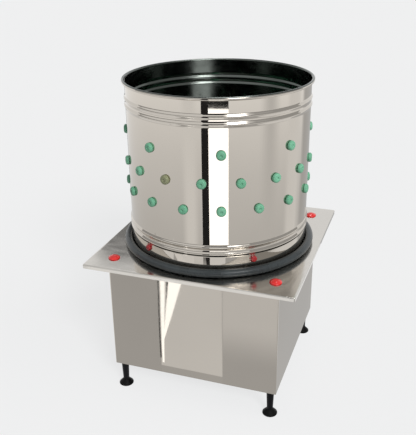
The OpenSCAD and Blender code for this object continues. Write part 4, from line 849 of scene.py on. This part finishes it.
# Switch box with collars round its buttons, and the buttons themselves
switchBox = {"low": (-307, -140, 290), "high": (-265, -80, 390), "wall": 2.5, "bevel": 3, "middleY": -110,
             "earHalf": 7, "earReach": 14, "earIn": 4, "earBevel": 0.8, "collarRadius": 15,
             "collarBore": 11.3, "collarOut": 2.5, "collarEdge": 0.8, "collarInnerEdge": 0.4,
             "glandX": -286, "glandRadius": 10.1}
button = {"radius": 11, "standOut": 7, "edge": 1.2, "edgeSteps": 5, "dish": 1.2, "dishIn": 2.4,
          "dishShares": (0.9, 0.7, 0.5, 0.25), "rearFlange": 13.5, "stemRadius": 5.5, "inside": 2.8,
          "flange": 2.5, "stemEnd": 37.6, "heights": {"start_button": 362, "stop_button": 318},
          "segments": 40}


def turnedOut(bm, height):
    face = Matrix.Translation((switchBox["low"][0], switchBox["middleY"], height))
    bm.transform(face @ Matrix.Rotation(-math.pi / 2, 4, "Y"))
    return bm


# Hollow box with two ears, open towards the cabinet, and a collar round each button hole
def switchBoxMesh():
    wall, middle, hole = switchBox["wall"], switchBox["middleY"], switchBox["collarBore"]
    reach, earIn, earHalf = switchBox["earReach"], switchBox["earIn"], switchBox["earHalf"]
    (x0, y0, z0), (x1, y1, z1) = switchBox["low"], switchBox["high"]
    steps = []
    for low, high in ((z0 - reach, z0 + earIn), (z1 - earIn, z1 + reach)):
        ear = boxMesh((x1 - wall, middle - earHalf, low), (x1, middle + earHalf, high), switchBox["earBevel"])
        steps.append(("UNION", ear))
    hollow = boxMesh((x0 + wall, y0 + wall, z0 + wall), (x1 + wall, y1 - wall, z1 - wall))
    steps.append(("DIFFERENCE", hollow))
    for height in button["heights"].values():
        bore = spin([(0, -2 * wall), (hole, -2 * wall), (hole, wall), (0, wall)], button["segments"])
        steps.append(("DIFFERENCE", toMesh(turnedOut(bore, height), "bore")))
    inner = switchBox["glandRadius"]
    entry = spin([(0, -wall), (inner, -wall), (inner, 2 * wall), (0, 2 * wall)], button["segments"])
    entry.transform(Matrix.Translation((switchBox["glandX"], middle, z0)))
    steps.append(("DIFFERENCE", toMesh(entry, "entry")))
    bm = bmesh.new()
    bm.from_mesh(carved(boxMesh(switchBox["low"], switchBox["high"], switchBox["bevel"]), *steps))
    bm.transform(Matrix.Scale(1 / mm, 4))
    rim, out = switchBox["collarRadius"], switchBox["collarOut"]
    edge, innerEdge = switchBox["collarEdge"], switchBox["collarInnerEdge"]
    collarSide = [(hole, 0), (rim, 0), (rim, out - edge), (rim - edge, out), (hole + innerEdge, out),
                  (hole, out - innerEdge)]
    for height in button["heights"].values():
        collar = toMesh(turnedOut(spin(collarSide, button["segments"], True), height), "collar")
        collar.transform(Matrix.Scale(1 / mm, 4))
        bm.from_mesh(collar)
    return toMesh(bm, "switchBox")


def buttonMesh(height):
    radius, out, edge, dish = (button[name] for name in ("radius", "standOut", "edge", "dish"))
    stem, end, flange = button["stemRadius"], -button["stemEnd"], button["rearFlange"]
    front = -button["inside"]
    back = front - button["flange"]
    profile = [(0, end), (stem, end), (stem, back), (flange, back), (flange, front), (radius, front)]
    profile += arc((radius - edge, out - edge), edge, 0, 90, button["edgeSteps"])
    dishRadius = radius - button["dishIn"]
    profile += [(share * dishRadius, out - dish * (1 - share * share)) for share in button["dishShares"]]
    return toMesh(turnedOut(spin(profile + [(0, out - dish)], button["segments"]), height), "pushButton")


piece("switchBox", switchBoxMesh(), boxBlack, "machine", "black_plastic", "switch_box")
for body, finish, slot in (("start_button", buttonGreen, "green_plastic"),
                           ("stop_button", buttonRed, "red_plastic")):
    piece(body.replace("_", "-") + "-cap", buttonMesh(button["heights"][body]), finish, body, slot, body)


# Cable gland: hexagon, ribbed dome nut and an open bore
gland = {"x": -286, "y": -110, "box": 290, "hexRadius": 13, "hexHeight": 8, "perSide": 12, "threadRadius": 10,
         "inside": 7.5, "wall": 2.5, "bore": 4.5, "nutRadius": 11, "nutHeight": 16, "ribs": 18,
         "ribDepth": 0.7, "ribFoot": 7, "shoulder": 4, "shoulderIn": 0.8, "nutTip": 8.5, "tipRise": 1,
         "tipIn": 1.2}


def glandMesh():
    bore, thread, hexagon = gland["bore"], gland["threadRadius"], gland["hexRadius"]
    inside, wall, low = gland["inside"], gland["wall"], -gland["hexHeight"]
    nut, tip = gland["nutRadius"], gland["nutTip"]
    nutFoot = low - gland["nutHeight"]
    stations = [(bore, inside, ""), (hexagon, inside, "hex"), (hexagon, wall, "hex"), (thread, wall, ""),
                (thread, 0, ""), (hexagon, 0, "hex"), (hexagon, low, "hex"), (nut, low, "ribs"),
                (nut, nutFoot + gland["ribFoot"], "ribs"),
                (nut - gland["shoulderIn"], nutFoot + gland["shoulder"], ""),
                (tip, nutFoot + gland["tipRise"], ""), (tip - gland["tipIn"], nutFoot, ""),
                (bore, nutFoot, "")]
    sides = 6 * gland["perSide"]
    bm = bmesh.new()
    rings = []
    for radius, height, shape in stations:
        ring = []
        for i in range(sides):
            angle = math.tau * i / sides
            reach = radius
            if shape == "hex":
                reach = radius * math.cos(math.pi / 6) / math.cos(angle % (math.pi / 3) - math.pi / 6)
            if shape == "ribs":
                reach = radius - gland["ribDepth"] * (1 - math.cos(angle * gland["ribs"])) / 2
            ring.append(bm.verts.new((reach * math.cos(angle), reach * math.sin(angle), height)))
        rings.append(ring)
    for first, second in zip(rings, rings[1:] + rings[:1]):
        bridge(bm, first, second)
    bm.transform(Matrix.Translation((gland["x"], gland["y"], gland["box"])))
    return toMesh(bm, "cableGland")


piece("cableGland", glandMesh(), glandBlack, "machine", "black_plastic", "cable_gland")
print("switch and gland made")


# Camera at the photograph's angle, from a fit of the drum, the plate and the feet
# Focal length, width and height are in pixels
view = {"azimuth": 19.3905, "elevation": 23.3593, "distance": 2244.92, "roll": -0.7306,
        "target": (-59.865, 66.543, 489.763), "focal": 672.7, "width": 416, "height": 435}
azimuth, elevation, roll = (math.radians(view[name]) for name in ("azimuth", "elevation", "roll"))
backward = Vector((math.sin(azimuth) * math.cos(elevation), -math.cos(azimuth) * math.cos(elevation),
                   math.sin(elevation)))
rightward = Vector((0, 0, 1)).cross(backward).normalized()
upward = backward.cross(rightward)
eye = (Vector(view["target"]) + backward * view["distance"]) * mm
lensData = bpy.data.cameras.new("camera")
lensData.lens = lensData.sensor_width * view["focal"] / max(view["width"], view["height"])
camera = bpy.data.objects.new("camera", lensData)
turnedRight = rightward * math.cos(roll) + upward * math.sin(roll)
turnedUp = upward * math.cos(roll) - rightward * math.sin(roll)
axes = Matrix((turnedRight, turnedUp, backward)).transposed().to_4x4()
camera.matrix_world = Matrix.Translation(eye) @ axes
scene.collection.objects.link(camera)
scene.camera = camera


# Pale world and floor: what the camera and the metal see is even, and the floor keeps the shadow
studio = {"pale": 0.855, "paleTint": (0.995, 1.0, 1.005), "fill": 0.32, "floorColour": 0.50, "floorReach": 30,
          "floorGlow": 0.99, "shadowShare": 0.25}  # floorReach in metres


def seenRays(tree):
    path = addNode(tree, "ShaderNodeLightPath")
    seen = calc(tree, "ADD", path.outputs["Is Camera Ray"], path.outputs["Is Glossy Ray"])
    return calc(tree, "MINIMUM", calc(tree, "ADD", seen, path.outputs["Is Transmission Ray"]), 1.0)


def buildWorld():
    world = bpy.data.worlds.new("studio")
    world.use_nodes = True
    tree = world.node_tree
    backdrop = tree.nodes["Background"]
    backdrop.inputs["Color"].default_value = (*studio["paleTint"], 1)
    strength = addNode(tree, "ShaderNodeMapRange", inputs={
        "Value": seenRays(tree), "To Min": studio["fill"], "To Max": studio["pale"]})
    tree.links.new(outOf(strength), backdrop.inputs["Strength"])
    scene.world = world


def buildFloor():
    finish = bpy.data.materials.new("paleFloor")
    finish.use_nodes = True
    tree = finish.node_tree
    tree.nodes.remove(tree.nodes["Principled BSDF"])
    matt = addNode(tree, "ShaderNodeBsdfDiffuse", inputs={"Color": (*[studio["floorColour"]] * 3, 1)})
    glow = addNode(tree, "ShaderNodeEmission", inputs={
        "Color": (*studio["paleTint"], 1), "Strength": studio["floorGlow"]})
    share = calc(tree, "MULTIPLY", seenRays(tree), 1 - studio["shadowShare"])
    mix = addNode(tree, "ShaderNodeMixShader")
    tree.links.new(share, mix.inputs[0])
    tree.links.new(outOf(matt), mix.inputs[1])
    tree.links.new(outOf(glow), mix.inputs[2])
    tree.links.new(outOf(mix), tree.nodes["Material Output"].inputs["Surface"])
    reach = studio["floorReach"]
    mesh = bpy.data.meshes.new("floor")
    mesh.from_pydata([(-reach, -reach, 0), (reach, -reach, 0), (reach, reach, 0), (-reach, reach, 0)], [],
                     [(0, 1, 2, 3)])
    mesh.materials.append(finish)
    floor = bpy.data.objects.new("floor", mesh)
    scene.collection.objects.link(floor)


buildWorld()
buildFloor()


# Soft suns from the front right and from the right: the metal sees cards in their place
suns = {
    "keySun": {"azimuth": 312, "elevation": 36, "angle": 18, "strength": 2.6},
    "rightSun": {"azimuth": 352, "elevation": 34, "angle": 60, "strength": 1.1},
}
for name, sun in suns.items():
    data = bpy.data.lights.new(name, "SUN")
    data.angle = math.radians(sun["angle"])
    data.energy = sun["strength"]
    made = bpy.data.objects.new(name, data)
    made.rotation_euler = (math.radians(90 - sun["elevation"]), 0, math.radians(90 + sun["azimuth"]))
    made.visible_glossy = False
    scene.collection.objects.link(made)


# Studio cards that only the polished metal sees: white and black strips and grey sheets on the floor
def mirrorSpot(point, normal):
    sight = (Vector(point) * mm - eye).normalized()
    away = sight.reflect(Vector(normal))
    start = Vector(point) * mm
    return start - away * (start.z / away.z)


def drumSpot(turn, height):
    out = Vector((math.cos(math.radians(turn)), math.sin(math.radians(turn)), 0))
    return mirrorSpot(out * drumSheet["Radius"] + Vector((0, 0, height)), out)


def frontSpot(x, height):
    return mirrorSpot((x, -cabinetWrap["half"], height), (0, -1, 0))


def sideSpot(y, height):
    return mirrorSpot((cabinetWrap["half"], y, height), (1, 0, 0))


def lipSpot(x, height):
    return mirrorSpot((x, -topPlate["half"], height), (0, -1, 0))


# Cards on the floor, each where the metal mirrors it: millimetres and degrees on the metal
drumCards = {
    "brightSheet": {"turns": (266, 278), "heights": (478, 985), "light": 0.88, "soft": 0.4},
    "dimSheet": {"turns": (311, 327), "heights": (478, 985), "light": 0.68, "soft": 0.5},
    "rightSheet": {"turns": (330, 346), "heights": (478, 985), "light": 0.85, "soft": 0.3},
    "rightDarkSheet": {"turns": (345, 370), "heights": (478, 985), "light": 0.50, "soft": 0.2},
    "whiteStrip": {"turns": (283.1, 294.2), "heights": (548, 948), "light": 2.1, "soft": 0.0},
    "stripEnd": {"turns": (283.1, 294.2), "heights": (948, 990), "light": 0.02, "soft": 0.0},
    "blackStrip": {"turns": (279.1, 283.1), "heights": (490, 990), "light": 0.02, "soft": 0.0},
}
frontCards = {
    "leftSheet": {"outline": ((-300, 60), (-104, 60), (-104, 455), (-300, 455)), "light": 0.50},
    "middleSheet": {"outline": ((-104, 103), (97, 103), (97, 455), (-104, 455)), "light": 0.77},
    "rightLowSheet": {"outline": ((97, 60), (300, 60), (300, 455), (97, 455)), "light": 0.50},
    "rightHighSheet": {"outline": ((99, 150), (99, 560), (290, 560), (290, 150)), "light": 0.72, "soft": 0.3},
    "frontStrip": {"outline": ((-104, 60), (97, 60), (97, 103), (-104, 103)), "light": 0.52},
    "darkLine": {"outline": ((-107, 130), (-102, 130), (-102, 455), (-107, 455)), "light": 0.10},
    "brightLine": {"outline": ((-100, 112), (-94, 112), (-81, 455), (-98, 455)), "light": 1.75},
    "darkTip": {"outline": ((-80, 330), (-78, 330), (-66, 455), (-76, 455)), "light": 0.08},
    "brightWedge": {"outline": ((-93, 200), (-90, 200), (-14, 455), (-66, 455)), "light": 1.75},
}
sideCards = {
    "sideSheet": {"outline": ((-330, 60), (330, 60), (330, 400), (-330, 400)), "light": 0.52},
    "sideHighSheet": {"outline": ((-330, 400), (330, 400), (330, 458), (-330, 458)), "light": 0.30},
}
lipCards = {
    "lipSheet": {"outline": ((-340, 430), (340, 430), (340, 470), (-340, 470)), "light": 0.92},
}

# Cards that lie or stand free of the machine, in metres
farFloor = {"near": 1.35, "far": 9.0, "rise": (1.4, 4.3), "light": (0.67, 0.98), "segments": 96}
nearFloor = {"near": 0.36, "far": 1.36, "turns": (296, 352), "light": 0.5, "steps": 16}
roundWalls = {
    "frontWall": {"distance": 7.0, "heights": (0.0, 3.4), "turns": (180, 400), "steps": 44, "light": 0.38},
    "rightWall": {"distance": 6.0, "heights": (1.3, 5.2), "turns": (328, 400), "steps": 16, "light": 0.42},
    "keyWall": {"distance": 3.6, "heights": (2.8, 4.0), "turns": (294, 328), "steps": 8, "light": 9.0,
                "soft": 0.3},
    "beadShade": {"distance": 0.775, "heights": (0.88, 1.31), "turns": (273, 298), "steps": 8, "light": 0.02},
    "insideStrip": {"distance": 0.268, "heights": (0.68, 0.895), "turns": (296, 340), "steps": 8,
                    "light": 1.5, "soft": 0.2},
}
uprightCards = {
    "leftBackSheet": {"left": (-1.02, 1.0), "right": (-0.3, 1.0), "heights": (0.1, 1.18), "light": 0.20},
    "insideGlow": {"left": (0.088, -0.154), "right": (0.194, -0.053), "heights": (1.17, 1.40), "light": 12.0,
                   "soft": 0.25},
}
levelCards = {
    "ceiling": {"low": (-4.0, -1.4), "high": (4.0, 3.6), "height": 3.5, "light": 0.5},
    "overhead": {"low": (-0.45, 0.45), "high": (0.45, 1.35), "height": 3.4, "light": 9.0},
}

# Black wall whose foot the drum mirrors at one height, in millimetres, and which rises some metres
blackWall = {"mirroredAt": 968, "rise": 1.2, "light": 0.03}


# Emission that fades out at the sides of a card, along its first axis
def cardFinish(name, light, soft=0.0):
    finish = bpy.data.materials.new(name)
    finish.use_nodes = True
    tree = finish.node_tree
    tree.nodes.remove(tree.nodes["Principled BSDF"])
    glow = addNode(tree, "ShaderNodeEmission", inputs={"Strength": light})
    surface = tree.nodes["Material Output"].inputs["Surface"]
    if not soft:
        tree.links.new(outOf(glow), surface)
        return finish
    place = addNode(tree, "ShaderNodeUVMap", {"uv_map": "card"})
    across = addNode(tree, "ShaderNodeSeparateXYZ", inputs={"Vector": outOf(place)}).outputs["X"]
    toSide = calc(tree, "SUBTRACT", 0.5, calc(tree, "ABSOLUTE", calc(tree, "SUBTRACT", across, 0.5)))
    share = addNode(tree, "ShaderNodeMapRange", {"interpolation_type": "SMOOTHSTEP"},
                    {"Value": toSide, "From Min": 0.0, "From Max": soft})
    mix = addNode(tree, "ShaderNodeMixShader")
    tree.links.new(outOf(share), mix.inputs[0])
    tree.links.new(outOf(addNode(tree, "ShaderNodeBsdfTransparent")), mix.inputs[1])
    tree.links.new(outOf(glow), mix.inputs[2])
    tree.links.new(outOf(mix), surface)
    return finish


def farFinish(name):
    finish = cardFinish(name, 1.0)
    tree = finish.node_tree
    place = addNode(tree, "ShaderNodeTexCoord").outputs["Object"]
    away = addNode(tree, "ShaderNodeVectorMath", {"operation": "LENGTH"}, {"Vector": place})
    light = spread(tree, outOf(away, "Value"), *farFloor["light"], *farFloor["rise"])
    tree.links.new(light, tree.nodes["Emission"].inputs["Strength"])
    return finish


def addCard(name, mesh, finish):
    mesh.materials.append(finish)
    card = bpy.data.objects.new(name, mesh)
    scene.collection.objects.link(card)
    card.visible_camera = False
    card.visible_diffuse = False
    card.visible_transmission = False
    card.visible_shadow = False


def bandCard(name, inner, outer, finish):
    count = len(inner)
    faces = [(i, i + 1, count + i + 1, count + i) for i in range(count - 1)]
    mesh = bpy.data.meshes.new(name)
    mesh.from_pydata([*inner, *outer], [], faces)
    steps = [i / (count - 1) for i in range(count)]
    corners = []
    for start, end in zip(steps, steps[1:]):
        corners += [start, 0, end, 0, end, 1, start, 1]
    mesh.uv_layers.new(name="card").uv.foreach_set("vector", corners)
    addCard(name, mesh, finish)


def quadCard(name, points, light, soft=0.0):
    bandCard(name, points[:2], points[:1:-1], cardFinish(name, light, soft))


def around(distance, height, first, last, steps):
    turns = [math.radians(first + (last - first) * i / steps) for i in range(steps + 1)]
    return [Vector((distance * math.cos(turn), distance * math.sin(turn), height)) for turn in turns]


lift = Vector((0, 0, 0.001))
cardSteps = 10
bandCard("farFloor", around(farFloor["near"], lift.z, 0, 360, farFloor["segments"]),
         around(farFloor["far"], lift.z, 0, 360, farFloor["segments"]), farFinish("farFloor"))
bandCard("nearFloor", around(nearFloor["near"], lift.z, *nearFloor["turns"], nearFloor["steps"]),
         around(nearFloor["far"], lift.z, *nearFloor["turns"], nearFloor["steps"]),
         cardFinish("nearFloor", nearFloor["light"]))
for name, wall in roundWalls.items():
    edges = [around(wall["distance"], height, *wall["turns"], wall["steps"]) for height in wall["heights"]]
    bandCard(name, *edges, cardFinish(name, wall["light"], wall.get("soft", 0.0)))
layer = 2  # above the two floor rings
for name, card in drumCards.items():
    left, right = card["turns"]
    turns = [left + (right - left) * i / cardSteps for i in range(cardSteps + 1)]
    edges = [[drumSpot(turn, height) + lift * layer for turn in turns] for height in card["heights"]]
    bandCard(name, *edges, cardFinish(name, card["light"], card["soft"]))
    layer += 1
for findSpot, cards in ((frontSpot, frontCards), (sideSpot, sideCards), (lipSpot, lipCards)):
    for name, card in cards.items():
        outline = [findSpot(*spot) + lift * layer for spot in card["outline"]]
        quadCard(name, outline, card["light"], card.get("soft", 0.0))
        layer += 1
for name, card in uprightCards.items():
    low, high = card["heights"]
    left, right = card["left"], card["right"]
    outline = [(*left, low), (*right, low), (*right, high), (*left, high)]
    quadCard(name, outline, card["light"], card.get("soft", 0.0))
for name, card in levelCards.items():
    (left, front), (right, back), height = card["low"], card["high"], card["height"]
    outline = [(left, front, height), (right, front, height), (right, back, height), (left, back, height)]
    quadCard(name, outline, card["light"])
wallLeft = drumSpot(drumCards["blackStrip"]["turns"][0], blackWall["mirroredAt"])
wallRight = drumSpot(drumCards["whiteStrip"]["turns"][1], blackWall["mirroredAt"])
wallTop = Vector((0, 0, blackWall["rise"]))
quadCard("blackWall", [wallLeft, wallRight, wallRight + wallTop, wallLeft + wallTop], blackWall["light"])
print("stage, suns and cards set")

scene.view_settings.view_transform = "Standard"
